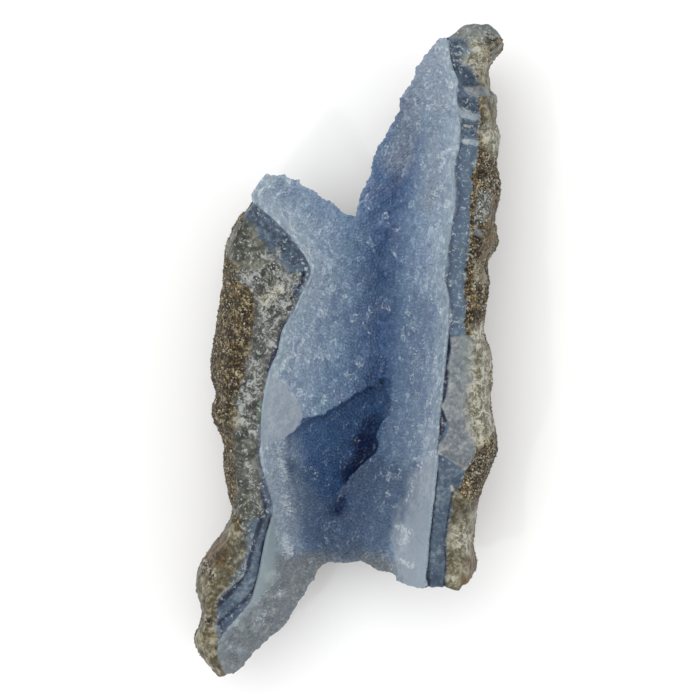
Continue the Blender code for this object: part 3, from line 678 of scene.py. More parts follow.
def spread_points(outline, spacing, seed=7):
    """(x, y) points at least this far apart over the hollow's surface, inside the outline, in no pattern."""
    rng = np.random.default_rng(seed)
    rows = np.arange(outline[:, 1].min(), outline[:, 1].max() + 1, 1.0)
    columns = np.linspace(0, 1, 120)
    x = along(LEFT_RIM, rows)[:, None] * (1 - columns) + along(RIGHT_RIM, rows)[:, None] * columns
    height = plain_height(x, np.broadcast_to(rows[:, None], x.shape))
    length = np.cumsum(np.hypot(np.diff(x, axis=1), np.diff(height, axis=1)), axis=1)
    length = np.column_stack([np.zeros(len(rows)), length])
    tries = int(9 * length[:, -1].sum() / spacing**2)
    row = rng.integers(0, len(rows), tries)
    across = rng.uniform(0, 1, tries) * length[:, -1].max()
    shift = rng.uniform(0, 1, tries)
    found, taken = [], {}
    for r, u, dy in zip(row, across, shift):
        if u > length[r, -1]:
            continue
        y = rows[r] + dy
        column, line = int(u // spacing), int(y // spacing)
        near = (taken.get((column + i, line + j)) for i in (-1, 0, 1) for j in (-1, 0, 1))
        if any(other and (other[0] - u) ** 2 + (other[1] - y) ** 2 < spacing**2 for other in near):
            continue
        taken[column, line] = (u, y)
        found.append((np.interp(u, length[r], x[r]), y))
    return [point for point in found if clear_inside(point, outline, spacing * 0.45)]


def clear_inside(point, outline, margin):
    """True for a point inside the outline and at least the margin from it."""
    starts, ends = outline, np.roll(outline, -1, axis=0)
    edges = ends - starts
    t = np.clip(((point - starts) * edges).sum(axis=1) / (edges**2).sum(axis=1), 0, 1)
    nearest = np.hypot(*(starts + edges * t[:, None] - point).T).min()
    crosses = (starts[:, 1] > point[1]) != (ends[:, 1] > point[1])
    reach = starts[:, 0] + (point[1] - starts[:, 1]) / np.where(crosses, edges[:, 1], 1) * edges[:, 0]
    return nearest > margin and (crosses & (reach > point[0])).sum() % 2 == 1


def triangulate(outline, inner):
    """Triangles over the outline and the points inside it, well shaped on the hollow's slopes."""
    points = np.array([*map(tuple, outline), *inner])
    flat = [Vector(pair) for pair in zip(wall_length(*points.T), points[:, 1])]
    _, _, faces, sources, _, _ = delaunay_2d_cdt(flat, [], [list(range(len(outline)))], 1, 1e-6)
    return points, [[sources[corner][0] for corner in face] for face in faces]


def loft(rings):
    """Points and faces of a closed skin over rings with equal numbers of points, capped at both ends."""
    count = len(rings[0])
    faces = [list(range(count)), list(range((len(rings) - 1) * count, len(rings) * count))]
    for row in range(len(rings) - 1):
        for i in range(count):
            low, high = row * count + i, row * count + (i + 1) % count
            faces.append([low, high, high + count, low + count])
    return [point for ring in rings for point in ring], faces


def close_sheets(top, top_faces, bottom, bottom_faces, rim_count):
    """Joins two sheets along their outlines, which are their first points, into one closed shape."""
    shift = len(top)
    sides = []
    for i in range(rim_count):
        after = (i + 1) % rim_count
        sides.append([i, after, shift + after, shift + i])
    lower = [[corner + shift for corner in face] for face in bottom_faces]
    return [*top, *bottom], [*top_faces, *lower, *sides]


OUTLINE, _ = hollow_outline(4, TOP_BREAK, BOTTOM_BREAK)
CAD_CRUST_LOW, CAD_CRUST_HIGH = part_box("druzy_crust")
SHIFT = (np.array(CAD_CRUST_LOW)[:2] + np.array(CAD_CRUST_HIGH)[:2]) / 2 / MM
SHIFT = np.array([*(SHIFT - (OUTLINE.min(axis=0) + OUTLINE.max(axis=0)) / 2), 0])


def mesh_object(name, points, faces):
    """An object with a closed mesh of these millimetre points, its faces turned outwards."""
    mesh = bpy.data.meshes.new(name)
    mesh.from_pydata((np.array(points, float) + SHIFT) * MM, [], faces)
    shape = bmesh.new()
    shape.from_mesh(mesh)
    bmesh.ops.recalc_face_normals(shape, faces=shape.faces)
    shape.to_mesh(mesh)
    shape.free()
    made = bpy.data.objects.new(name, mesh)
    bpy.context.scene.collection.objects.link(made)
    return made


def make_block():
    """The whole stone before its ends broke and its hollow was cut."""
    stations = np.linspace(-BLOCK_END, BLOCK_END, round(2 * BLOCK_END / STATION_STEP) + 1)
    rings = [section(y) for y in stations]
    return mesh_object("block", *loft(rings)), rings


def make_hollow_cutter():
    outline, overrun = hollow_outline(2, TOP_BREAK, BOTTOM_BREAK)
    points, faces = triangulate(outline, spread_points(outline, BED_SPACING))
    count = len(outline)
    heights = hollow_height(points[:, 0], points[:, 1]) - SHEET_SINK
    brink = outline + overrun
    lid = np.column_stack([[*brink, *points[count:]], np.full(len(points), CUTTER_TOP)])
    floor = [*np.column_stack([brink, heights[:count]]), *np.column_stack([points, heights])]
    floor_faces = [[corner + count for corner in face] for face in faces]
    for i in range(count):
        after = (i + 1) % count
        floor_faces.append([i, after, count + after, count + i])
    return mesh_object("hollow_cutter", *close_sheets(lid, faces, floor, floor_faces, count))


def make_break_cutter(name, outline, inward):
    """A closed shape beyond a broken end. Its near side is the rough break, upright at the top and leaning in."""
    reach = [(-70, outline[0][1]), *outline, (70, outline[-1][1])]
    rows = round(50 / BREAK_ROW_STEP)
    columns = []
    for x, y in reach:
        top = float(hollow_height(np.array([x]), np.array([y]))[0]) - CRUST_THICKNESS
        top = min(max(top, 12), 42)
        heights = [CUTTER_TOP, *np.linspace(top, -8, rows + 1)]
        column = []
        for z in heights:
            depth = max(0, top - z)
            near_top = min(1, depth / 6)
            rough = BREAK_ROUGHNESS * near_top * (1 + lumps(x, y, z, 7))
            column.append((x, y + inward * (depth * BREAK_LEAN + rough), z))
        far = [(x, -inward * BREAK_REACH, z) for z in reversed(heights)]
        columns.append(column + far)
    return mesh_object(name, *loft(columns))


def applied(piece):
    """Replaces the piece's mesh with what its modifiers make of it."""
    bpy.context.view_layer.update()
    mesh = bpy.data.meshes.new_from_object(piece.evaluated_get(bpy.context.evaluated_depsgraph_get()))
    piece.modifiers.clear()
    piece.data = mesh
    return piece


def vectors(mesh, items="vertices", value="co"):
    """A mesh's vertex positions, or another value of three numbers, as an array."""
    found = np.empty(len(getattr(mesh, items)) * 3)
    getattr(mesh, items).foreach_get(value, found)
    return found.reshape(-1, 3)


def add_number(mesh, name, values, domain="POINT"):
    """Stores a number for each vertex or face, which the materials read."""
    mesh.attributes.new(name, "FLOAT", domain).data.foreach_set("value", np.asarray(values, np.float32))


def distances(points, tree):
    return np.array([tree.find_nearest(point)[3] for point in points])


def hollow_tree():
    """The hollow's surface, for distances from it."""
    outline, _ = hollow_outline(2, TOP_BREAK, BOTTOM_BREAK)
    sheet, faces = triangulate(outline, spread_points(outline, BED_SPACING))
    sheet = np.column_stack([sheet, hollow_height(sheet[:, 0], sheet[:, 1])])
    return BVHTree.FromPolygons(sheet.tolist(), faces)


def skin_tree(rings):
    """The block's rind, without the rim faces, for distances from it."""
    rings = [ring[RIM_POINTS : len(ring) - RIM_POINTS] for ring in rings]
    count = len(rings[0])
    points, faces = loft(rings)
    faces = [face for face in faces[2:] if abs(face[0] - face[1]) < count - 1]
    return BVHTree.FromPolygons(points, faces)


# The colour of each of the crystals' zones, how much of it shows, and how softly it ends, in millimetres. The pocket,
# lower valley, valley line and shadow zones are painted shade.
ZONE_LOOKS = (
    ("veil", (135, 146, 158), 0.75, 4), ("dusk", (112, 117, 118), 0.95, 3), ("valley_line_shade", (70, 97, 136), 0.8, 2),
    ("shadow", (98, 116, 140), 0.55, 5), ("lower_valley_shade", (74, 91, 114), 0.8, 4), ("pocket_shade", (50, 80, 118), 0.9, 6),
    ("pocket_deep_shade", (8, 24, 60), 0.95, 3), ("sea", (120, 134, 138), 0.85, 2), ("scrap", (148, 157, 160), 0.55, 0.8),
)

MARKS_BOTTOM = 27.5


def make_stone():
    """Rind, quartz and agate, cut from the block and given its fine relief."""
    block, rings = make_block()
    cutters = (
        make_hollow_cutter(),
        make_break_cutter("top_break_cutter", wander(TOP_BREAK, BREAK_WANDER), -1),
        make_break_cutter("bottom_break_cutter", wander(BOTTOM_BREAK, BREAK_WANDER), 1),
    )
    for cutter in cutters:
        cut = block.modifiers.new(cutter.name, "BOOLEAN")
        cut.operation = "DIFFERENCE"
        cut.solver = "MANIFOLD"
        cut.object = cutter
    remesh = block.modifiers.new("even faces", "REMESH")
    remesh.mode = "VOXEL"
    remesh.voxel_size = STONE_VOXEL * MM
    applied(block)
    for cutter in cutters:
        bpy.data.objects.remove(cutter)
    block.name = block.data.name = "agate_stone"

    points = vectors(block.data) / MM - SHIFT
    from_skin = distances(points, skin_tree(rings))
    from_hollow = distances(points, hollow_tree())
    near = {}
    stray = 4 * lumps_at(*points.T, 6) * smooth_step((rim_height(*points.T[:2]) - 5 - points[:, 2]) / 12)
    for kind in KIND_LOOKS:
        aside = kind_distance(points[:, 0], points[:, 1], RIM_MARKS, kind) + stray
        near[kind] = np.minimum(np.maximum(aside, MARKS_BOTTOM - points[:, 2] + 2 * stray), FAR)
        add_number(block.data, kind, near[kind])
    add_number(block.data, "from_skin", from_skin)
    add_number(block.data, "from_hollow", from_hollow)

    normals = vectors(block.data, "vertex_normals", "vector")
    moved = points + normals * stone_relief(points, from_skin, from_hollow, near)[:, None]
    moved[:, 2] = np.maximum(moved[:, 2], 0)
    block.data.vertices.foreach_set("co", ((moved + SHIFT) * MM).ravel())
    block.data.update()
    thin = block.modifiers.new("fewer faces where flat", "DECIMATE")
    thin.ratio = min(1, STONE_TRIANGLES / sum(len(face.vertices) - 2 for face in block.data.polygons))
    applied(block)
    block.data.shade_smooth()
    block.data.set_sharp_from_angle(angle=np.radians(38))
    return block


SMOOTH_KINDS = ("lilac", "steel", "moss", "deep_blue_and_shadow", "teal_and_shade", "mist", "olive", "haze", "gold")
ROUGH_KINDS = ("frost", "chalk", "umber")


def flat_chip(point, size, tilt):
    """Height of a surface broken in flat chips of about this size, each tilted its own way."""
    here = Vector(point) / size
    site = noise.voronoi(here)[1][0]
    lean = noise.cell_vector(site * 31.7) - Vector((0.5, 0.5, 0.5))
    return (here - site).dot(lean) * 2 * size * tilt


def within(distance, soft):
    """1 inside a mark, 0 outside, with a rise this wide."""
    return smooth_step(0.5 - distance / soft)


UNDER_CRUST = 0.4


def left_peak(points):
    """1 at the tip of the left wall, where the crystals reach the stone's outline."""
    return smooth_step((points[:, 1] - 40) / 3) * (points[:, 0] < 0) * smooth_step((points[:, 2] - 30) / 6)


def stone_relief(points, from_skin, from_hollow, near):
    """How far each point stands out: grains and lumps on the rind, flat chips on the broken faces."""
    grainy = np.array([noise.fractal(Vector(p) / 2.6, 0.8, 2.1, 4) for p in points])
    swell = np.array([1 - 2 * abs(noise.noise(Vector(p) / 4.2)) for p in points])
    hills = np.array([noise.noise(Vector(p) / 9) for p in points])
    large = np.array([flat_chip(p, 6.5, 0.16) for p in points])
    small = np.array([flat_chip(p, 2.2, 0.3) for p in points])
    rind = 1 - smooth_step((from_skin - 0.6) / 1.2)
    smooth = np.maximum.reduce([within(near[kind], 1.0) for kind in SMOOTH_KINDS])
    rough = np.maximum.reduce([within(near[kind], 1.0) for kind in ROUGH_KINDS])
    near_edge = smooth_step(from_hollow / 0.8)
    banded = within(from_hollow - 8, 4) * (1 - rough)
    smooth = np.maximum(smooth, 0.9 * banded)
    broken = (large * (1 - 0.9 * smooth) + small * (0.3 + 0.7 * rough) * (1 - 0.9 * smooth)) * near_edge
    broken += 0.4 * grainy * rough * near_edge + 0.25 * hills * smooth * near_edge
    rind *= 1 - 0.8 * within(near["mist"], 1.5)
    relief = rind * (0.42 * grainy + 0.3 * swell + 0.5 * hills) + (1 - rind) * broken
    relief -= (0.25 + 0.2 * swell) * (1 - smooth_step((from_hollow - 1.0) / 2.4))
    relief += 0.6 * within(near["lilac"], 0.5) - 0.45 * within(near["deep_blue_and_shadow"], 0.7)
    relief -= 0.4 * within(near["teal_and_shade"], 1.5)
    relief += 0.3 * within(near["pale"], 0.4) + 0.45 * within(near["lace"], 0.5)
    covered = smooth_step((rim_distance(points[:, 0], points[:, 1]) - 0.4) / 0.8) * within(from_hollow - 4, 2)
    covered = np.maximum(covered, left_peak(points))
    return relief * (1 - covered) - UNDER_CRUST * covered


def make_druzy():
    """The sheet of small crystals: a pyramid on each seed point, with grooves between."""
    rng = np.random.default_rng(11)
    top = bumpy(wander(TOP_BREAK, BREAK_WANDER), EDGE_BUMP_WIDTH, EDGE_BUMP_HEIGHT, 1)
    bottom = bumpy(wander(BOTTOM_BREAK, BREAK_WANDER)[::-1], EDGE_BUMP_WIDTH, EDGE_BUMP_HEIGHT / 2, 2)[::-1]
    outline, _ = hollow_outline(0.7, top, bottom, LIP_OVERHANG)
    points, triangles = triangulate(outline, spread_points(outline, GRAIN_SPACING))
    count = len(outline)
    x, y = points.T
    cover = crystal_cover(x, y)
    frost = within(kind_distance(x, y, DRUZY_MARKS, "frost"), 0.8)
    normals = surface_normal(crust_height, x, y)
    raised = np.column_stack([points, crust_height(x, y)])
    heights = GRAIN_HEIGHT * rng.uniform(0.3, 1.7, len(points)) * cover * (1 + 0.8 * frost)
    lean = rng.uniform(-0.2, 0.2, (len(points), 3)) * GRAIN_SPACING * cover[:, None]
    raised[count:] += (normals * heights[:, None] + lean)[count:]
    triangles = np.array(triangles)
    centres = points[triangles].mean(axis=1)
    grooves = np.column_stack([centres, crust_height(centres[:, 0], centres[:, 1])])
    beside = {}
    for i, (a, b, c) in enumerate(triangles):
        for edge in ((a, b), (b, c), (c, a)):
            beside.setdefault((min(edge), max(edge)), []).append(len(points) + i)
    faces, owners = [], []
    for (a, b), sides in beside.items():
        if len(sides) == 2:
            faces += [[a, *sides], [b, *sides]]
            owners += [a, b]
        else:
            faces.append([a, b, *sides])
            owners.append(a)
    bed, bed_faces = triangulate(outline, spread_points(outline, 2 * BED_SPACING))
    bottom = np.column_stack([bed, hollow_height(bed[:, 0], bed[:, 1]) - SHEET_SINK - SHEET_THICKNESS])
    druzy = mesh_object("druzy", *close_sheets([*raised, *grooves], faces, bottom, bed_faces, count))
    places = vectors(druzy.data) / MM - SHIFT
    x, y = places[:, 0], places[:, 1]
    add_number(druzy.data, "share", valley_share(x, y))
    add_number(druzy.data, "chip", chip_distance(x, y))
    add_number(druzy.data, "pocket", pocket_reach(x, y))
    add_number(druzy.data, "lip", rim_distance(x, y))
    for kind in ("frost", *(zone for zone, *_ in ZONE_LOOKS)):
        add_number(druzy.data, kind, kind_distance(x, y, DRUZY_MARKS, kind))
    shades = rng.uniform(0, 1, len(points))[owners]
    shades = np.concatenate([shades, np.full(len(druzy.data.polygons) - len(shades), 0.5)])
    add_number(druzy.data, "shade", shades, "FACE")
    return druzy


def number_at_faces(mesh, name, corners):
    """A vertex number's mean over each triangle."""
    values = np.empty(len(mesh.vertices), np.float32)
    mesh.attributes[name].data.foreach_get("value", values)
    return values[corners].mean(axis=1)


GRAIN_COUNT = 17_000
OCTAHEDRON = np.array([(1, 0, 0), (0, 1, 0), (-1, 0, 0), (0, -1, 0), (0, 0, 1), (0, 0, -1)], float)
OCTAHEDRON_FACES = np.array([(0, 1, 4), (1, 2, 4), (2, 3, 4), (3, 0, 4), (1, 0, 5), (2, 1, 5), (3, 2, 5), (0, 3, 5)])


def make_grains(stone):
    """Angular grains and shards that stand out of the rind and the granular quartz."""
    rng = np.random.default_rng(23)
    mesh = stone.data
    mesh.calc_loop_triangles()
    corners = np.empty(len(mesh.loop_triangles) * 3, np.int32)
    mesh.loop_triangles.foreach_get("vertices", corners)
    corners = corners.reshape(-1, 3)
    points = vectors(mesh) / MM - SHIFT
    a, b, c = points[corners].transpose(1, 0, 2)
    normals = np.cross(b - a, c - a)
    areas = np.linalg.norm(normals, axis=1)
    up = normals[:, 2] / np.maximum(areas, 1e-9)
    rind = 1 - smooth_step((number_at_faces(mesh, "from_skin", corners) - 0.5) / 1.2)
    white = within(number_at_faces(mesh, "frost", corners), 1.5)
    rough = within(number_at_faces(mesh, "umber", corners), 1.5)
    bare = (*SMOOTH_KINDS, "chalk", "beige", "pale", "fibre")
    smooth = np.maximum.reduce([within(number_at_faces(mesh, kind, corners), 1.0) for kind in bare])
    weights = areas * np.maximum.reduce([0.5 * rind, 0.4 * white, rough]) * (1 - smooth) * (1 + 2 * np.maximum(up, 0))
    weights[points[corners][:, :, 2].min(axis=1) < 1.5] = 0
    weights *= 1 - left_peak(points[corners].mean(axis=1))
    chosen = rng.choice(len(corners), GRAIN_COUNT, p=weights / weights.sum())
    u, v = rng.uniform(0, 1, (2, GRAIN_COUNT, 1))
    u, v = np.where(u + v > 1, (1 - u, 1 - v), (u, v))
    centres = a[chosen] + u * (b - a)[chosen] + v * (c - a)[chosen]
    spins = np.linalg.qr(rng.normal(size=(GRAIN_COUNT, 3, 3)))[0]
    radii = rng.uniform(0.14, 0.36, (GRAIN_COUNT, 1)) * rng.uniform(0.5, 1.6, (GRAIN_COUNT, 3))
    grains = centres[:, None] + (OCTAHEDRON * radii[:, None]) @ spins
    faces = OCTAHEDRON_FACES + 6 * np.arange(GRAIN_COUNT)[:, None, None]
    made = mesh_object("rind_grains", grains.reshape(-1, 3), faces.reshape(-1, 3).tolist())
    add_number(made.data, "grain", np.repeat(rng.uniform(0, 1, GRAIN_COUNT), 6))
    pale = np.maximum(white[chosen], 0.7 * (rng.uniform(0, 1, GRAIN_COUNT) > 0.75))
    add_number(made.data, "pale_share", np.repeat(pale, 6))
    return made


def srgb(red, green, blue):
    """A colour of 0 to 255 a channel as the linear values that a shader takes."""
    return tuple(((c / 255 + 0.055) / 1.055) ** 2.4 if c > 10 else c / 255 / 12.92 for c in (red, green, blue)) + (1,)


class Nodes:
    """A material's node tree, with one short call for each kind of node used here."""

    def __init__(self, name):
        self.material = bpy.data.materials.new(name)
        self.material.use_nodes = True
        self.tree = self.material.node_tree
        self.shader = self.tree.nodes["Principled BSDF"]

    def add(self, kind, inputs=(), **settings):
        node = self.tree.nodes.new(kind)
        for setting, value in settings.items():
            setattr(node, setting, value)
        for key, value in dict(inputs).items():
            self.put(node.inputs[key], value)
        return node

    def put(self, socket, value):
        if isinstance(value, bpy.types.NodeSocket):
            self.tree.links.new(value, socket)
        else:
            socket.default_value = value

    def number(self, name):
        return self.add("ShaderNodeAttribute", attribute_name=name).outputs["Fac"]

    def place(self):
        """Position on the specimen, in millimetres."""
        here = self.add("ShaderNodeTexCoord").outputs["Object"]
        return self.add("ShaderNodeVectorMath", {0: here, "Scale": 1 / MM}, operation="SCALE").outputs[0]

    def math(self, operation, a, b=0.0, c=0.0):
        return self.add("ShaderNodeMath", {0: a, 1: b, 2: c}, operation=operation).outputs[0]

    def between(self, value, low, high, to_low=0.0, to_high=1.0):
        """The value's rise from low to high, stretched to another pair of ends and held there."""
        ends = {"Value": value, "From Min": low, "From Max": high, "To Min": to_low, "To Max": to_high}
        return self.add("ShaderNodeMapRange", ends, interpolation_type="SMOOTHSTEP").outputs[0]

    def noise(self, place, size, detail=3.0, rough=0.55, warp=0.0):
        """Cloudy noise about 0.5 with features of this size in millimetres."""
        inputs = {"Vector": place, "Scale": 1 / size, "Detail": detail, "Roughness": rough, "Distortion": warp}
        return self.add("ShaderNodeTexNoise", inputs).outputs[0]

    def streaks(self, place, angle, size):
        """Noise drawn out into lines at this angle in degrees, seen from above."""
        inputs = {"Vector": place, "Rotation": (0, 0, np.radians(angle)), "Scale": (8, 1, 1)}
        turned = self.add("ShaderNodeMapping", inputs, vector_type="TEXTURE").outputs[0]
        return self.noise(turned, size, 3, 0.6)

    def shards(self, place, size):
        """Small angular cells: a number from 0 to 1 for each, and how far inside its edge a place is."""
        shift = self.add("ShaderNodeTexNoise", {"Vector": place, "Scale": 0.6 / size, "Detail": 2.0}).outputs["Color"]
        bent = self.add("ShaderNodeVectorMath", {0: shift, 1: (size,) * 3, 2: place}, operation="MULTIPLY_ADD").outputs[0]
        inputs = {"Vector": bent, "Scale": 1 / size}
        tint = self.add("ShaderNodeTexVoronoi", inputs).outputs["Color"]
        number = self.add("ShaderNodeSeparateColor", {0: tint}).outputs[0]
        return number, self.add("ShaderNodeTexVoronoi", inputs, feature="DISTANCE_TO_EDGE").outputs["Distance"]

    def mix(self, share, a, b, blend="MIX"):
        node = self.add("ShaderNodeMix", data_type="RGBA", blend_type=blend)
        self.put(node.inputs["Factor"], share)
        self.put(node.inputs[6], a)
        self.put(node.inputs[7], b)
        return node.outputs[2]

    def ramp(self, value, stops):
        node = self.add("ShaderNodeValToRGB", {"Fac": value})
        elements = node.color_ramp.elements
        while len(elements) < len(stops):
            elements.new(0.5)
        for element, (position, colour) in zip(elements, stops):
            element.position = position
            element.color = srgb(*colour)
        return node.outputs[0]

    def bump(self, height, distance, strength=1.0, under=None):
        inputs = {"Height": height, "Distance": distance * MM, "Strength": strength}
        if under is not None:
            inputs["Normal"] = under
        return self.add("ShaderNodeBump", inputs).outputs[0]

    def set(self, **values):
        for key, value in values.items():
            self.put(self.shader.inputs[key.replace("_", " ")], value)


# Colours of the stone's kinds of material from dark to light, then how far an edge strays and over what distance
# it fades, in millimetres, and how granular the kind is. Beside the crystals' edge the dark blue and teal kinds are
# painted shade as well as agate.
KIND_LOOKS = {
    "steel": ((39, 54, 73), (60, 77, 94), (94, 108, 119), 2.0, 0.8, 0.05),
    "haze": ((35, 37, 33), (67, 67, 61), (108, 108, 102), 2.4, 1.4, 0.2),
    "olive": ((43, 37, 18), (85, 78, 54), (148, 142, 120), 3.0, 1.0, 0.1),
    "moss": ((30, 34, 26), (65, 67, 56), (120, 119, 110), 3.0, 1.6, 0.15),
    "green": ((66, 94, 64), (80, 107, 77), (99, 119, 96), 1.5, 0.7, 0.1),
    "frost": ((44, 44, 37), (87, 88, 83), (166, 170, 168), 3.0, 0.6, 0.5),
    "chalk": ((52, 54, 51), (92, 94, 90), (156, 158, 154), 3.4, 0.5, 0.3),
    "gold": ((32, 22, 5), (72, 54, 22), (112, 90, 50), 2.4, 0.8, 0.1),
    "umber": ((24, 19, 10), (76, 64, 43), (208, 203, 186), 3.0, 0.8, 0.85),
    "fibre": ((25, 22, 14), (62, 58, 43), (126, 120, 100), 1.0, 0.4, 0.1),
    "teal_and_shade": ((23, 36, 53), (48, 66, 84), (86, 102, 115), 2.4, 0.7, 0.05),
    "mist": ((79, 88, 86), (99, 105, 102), (128, 132, 127), 2.4, 0.4, 0.05),
    "lilac": ((82, 90, 96), (107, 113, 118), (138, 142, 142), 1.8, 0.15, 0.05),
    "verdigris": ((96, 112, 108), (116, 128, 125), (138, 147, 144), 3.0, 2.0, 0.05),
    "beige": ((79, 75, 54), (134, 131, 113), (184, 182, 166), 5.0, 2.0, 0.25),
    "lace": ((108, 122, 134), (127, 139, 147), (151, 158, 163), 1.6, 0.3, 0.1),
    "deep_blue_and_shadow": ((8, 15, 36), (16, 27, 52), (34, 46, 70), 0.9, 0.4, 0.0),
    "pale": ((100, 105, 103), (126, 130, 128), (150, 154, 152), 1.6, 0.15, 0.1),
}


def stone_material():
    n = Nodes("agate_and_rind")
    place = n.place()
    skin, hollow = n.number("from_skin"), n.number("from_hollow")
    broad = n.noise(place, 13, 2)
    middle = n.noise(place, 3.2, 4, 0.6)
    fine = n.noise(place, 1.1, 4, 0.65)
    middle_about_0 = n.math("SUBTRACT", middle, 0.5)
    fine_about_0 = n.math("SUBTRACT", fine, 0.5)
    shard, shard_edge = n.shards(place, 0.8)
    crumb, crumb_edge = n.shards(place, 0.38)
    grit = n.math("ADD", n.math("MULTIPLY", shard, 0.5), n.math("MULTIPLY", crumb, 0.3))
    grit = n.math("ADD", grit, n.math("MULTIPLY_ADD", middle_about_0, 1.3, 0.1))
    flake, flake_edge = n.shards(place, 1.9)
    cloud = n.math("MULTIPLY_ADD", n.noise(place, 5, 6, 0.68, 0.8), 0.9, n.math("MULTIPLY", fine, 0.5))
    cloud = n.math("MULTIPLY_ADD", n.math("SUBTRACT", flake, 0.5), 0.1, n.math("SUBTRACT", cloud, 0.2))
    torn = n.noise(place, 2.6, 6, 0.75, 0.7)
    flaky = n.math("MULTIPLY_ADD", flake, 0.2, n.math("MULTIPLY", torn, 1.6))
    flaky = n.math("MULTIPLY_ADD", crumb, 0.16, n.math("SUBTRACT", flaky, 0.48))
    fibres = n.math("MULTIPLY_ADD", n.streaks(place, 40, 0.8), 1.6, -0.3)
    tone_fields = {"frost": flaky, "chalk": flaky, "beige": flaky, "umber": grit, "fibre": fibres}

    depth = n.math("ADD", hollow, n.math("MULTIPLY", middle_about_0, 3.5))
    band = n.ramp(
        n.math("DIVIDE", depth, 24),
        (
            (0.0, (110, 124, 138)), (0.05, (47, 61, 84)), (0.1, (66, 85, 108)), (0.2, (77, 96, 114)),
            (0.25, (64, 81, 99)), (0.29, (83, 99, 110)), (0.36, (84, 90, 88)), (0.55, (96, 97, 88)),
            (1.0, (92, 87, 70)),
        ),
    )
    speckled = n.ramp(grit, ((0.2, (52, 50, 40)), (0.42, (104, 104, 94)), (0.6, (138, 140, 132)), (0.85, (196, 198, 194))))
    band = n.mix(n.between(cloud, 0.5, 0.75, 0.0, 0.45), band, srgb(146, 162, 168))
    band = n.mix(n.between(cloud, 0.5, 0.3, 0.0, 0.4), band, srgb(52, 70, 92))
    broken = n.mix(n.math("MULTIPLY", n.between(depth, 6, 12), n.between(middle, 0.4, 0.6)), band, speckled)

    rind = n.ramp(
        grit,
        (
            (0.2, (10, 7, 2)), (0.35, (38, 28, 12)), (0.48, (78, 61, 32)), (0.63, (132, 111, 70)),
            (0.77, (208, 192, 154)),
        ),
    )
    greyer = n.ramp(grit, ((0.2, (33, 29, 18)), (0.8, (131, 121, 94))))
    rind = n.mix(n.between(broad, 0.4, 0.65, 0.0, 0.4), rind, greyer)
    edge = n.math("ADD", skin, n.math("MULTIPLY_ADD", middle_about_0, 4.0, n.math("MULTIPLY", fine_about_0, 2.5)))
    rind_share = n.between(edge, 1.7, 1.1)
    colour = n.mix(rind_share, broken, rind)
    grainy = n.between(rind_share, 0, 1, 0.25, 1.0)
    stray_coarse = n.math("MULTIPLY_ADD", fine_about_0, 0.7, n.math("MULTIPLY", middle_about_0, 0.8))
    stray_sharp = n.math("MULTIPLY_ADD", n.math("SUBTRACT", shard, 0.5), 0.25, stray_coarse)
    # Each kind's colours over the stone; the dark blue and teal kinds beside the crystals' edge are partly painted
    # shade.
    for kind, (dark, mid, light, stray, soft, granular) in KIND_LOOKS.items():
        waver = stray_sharp if granular > 0.5 else stray_coarse
        where = n.math("MULTIPLY_ADD", waver, stray, n.number(kind))
        share = n.between(where, soft, -soft)
        spread = 0.24 if kind == "umber" else 0.15
        tones = n.ramp(tone_fields.get(kind, cloud), ((0.5 - spread, dark), (0.5, mid), (0.5 + spread, light)))
        colour = n.mix(share, colour, tones)
        grainy = n.math("ADD", n.math("MULTIPLY", grainy, n.math("SUBTRACT", 1.0, share)), n.math("MULTIPLY", share, granular))
    flecks = n.between(n.noise(place, 1.1, 4, 0.65, 0.8), 0.575, 0.62, 0.0, 0.6)
    flecks = n.math("MULTIPLY", flecks, n.between(n.number("lilac"), 0.5, 1.5, 0.3, 1.0))
    calm = n.math("MINIMUM", n.number("steel"), n.number("olive"))
    flecks = n.math("MULTIPLY", flecks, n.between(calm, -0.8, 0.8, 0.2, 1.0))
    colour = n.mix(n.math("MULTIPLY", flecks, n.between(grainy, 0.2, 0.8, 1.0, 0.0)), colour, srgb(176, 184, 186))
    gaps = n.math("MINIMUM", n.between(shard_edge, 0.0, 0.16), n.between(crumb_edge, 0.0, 0.12, 0.4, 1.0))
    dark_gaps = n.math("MULTIPLY", n.math("SUBTRACT", 1.0, gaps), n.math("MULTIPLY", grainy, 0.55))
    colour = n.mix(dark_gaps, colour, srgb(26, 22, 16))
    relief = n.bump(n.math("MULTIPLY_ADD", torn, 1.5, fine), 0.6, 0.4)
    heights = n.math("MULTIPLY_ADD", shard, 0.6, n.math("MULTIPLY", crumb, 0.3))
    heights = n.math("MULTIPLY", heights, gaps)
    relief = n.bump(heights, 0.5, n.math("MULTIPLY", grainy, 0.9), relief)
    n.set(Base_Color=colour, Roughness=n.between(grainy, 0, 1, 0.4, 0.62), Normal=relief, Specular_IOR_Level=0.35)
    return n.material


def grain_material():
    n = Nodes("rind_grains")
    grain, pale = n.number("grain"), n.number("pale_share")
    fine = n.noise(n.place(), 0.8, 2)
    tone = n.math("ADD", grain, n.math("MULTIPLY", n.math("SUBTRACT", fine, 0.5), 0.4))
    brown = n.ramp(tone, ((0.1, (26, 20, 11)), (0.5, (72, 58, 35)), (0.85, (106, 88, 57)), (1.0, (172, 162, 136))))
    white = n.ramp(tone, ((0.1, (66, 62, 48)), (0.5, (120, 120, 110)), (0.95, (190, 192, 190))))
    n.set(Base_Color=n.mix(pale, brown, white), Roughness=n.between(grain, 0, 1, 0.6, 0.4), Specular_IOR_Level=0.35)
    return n.material


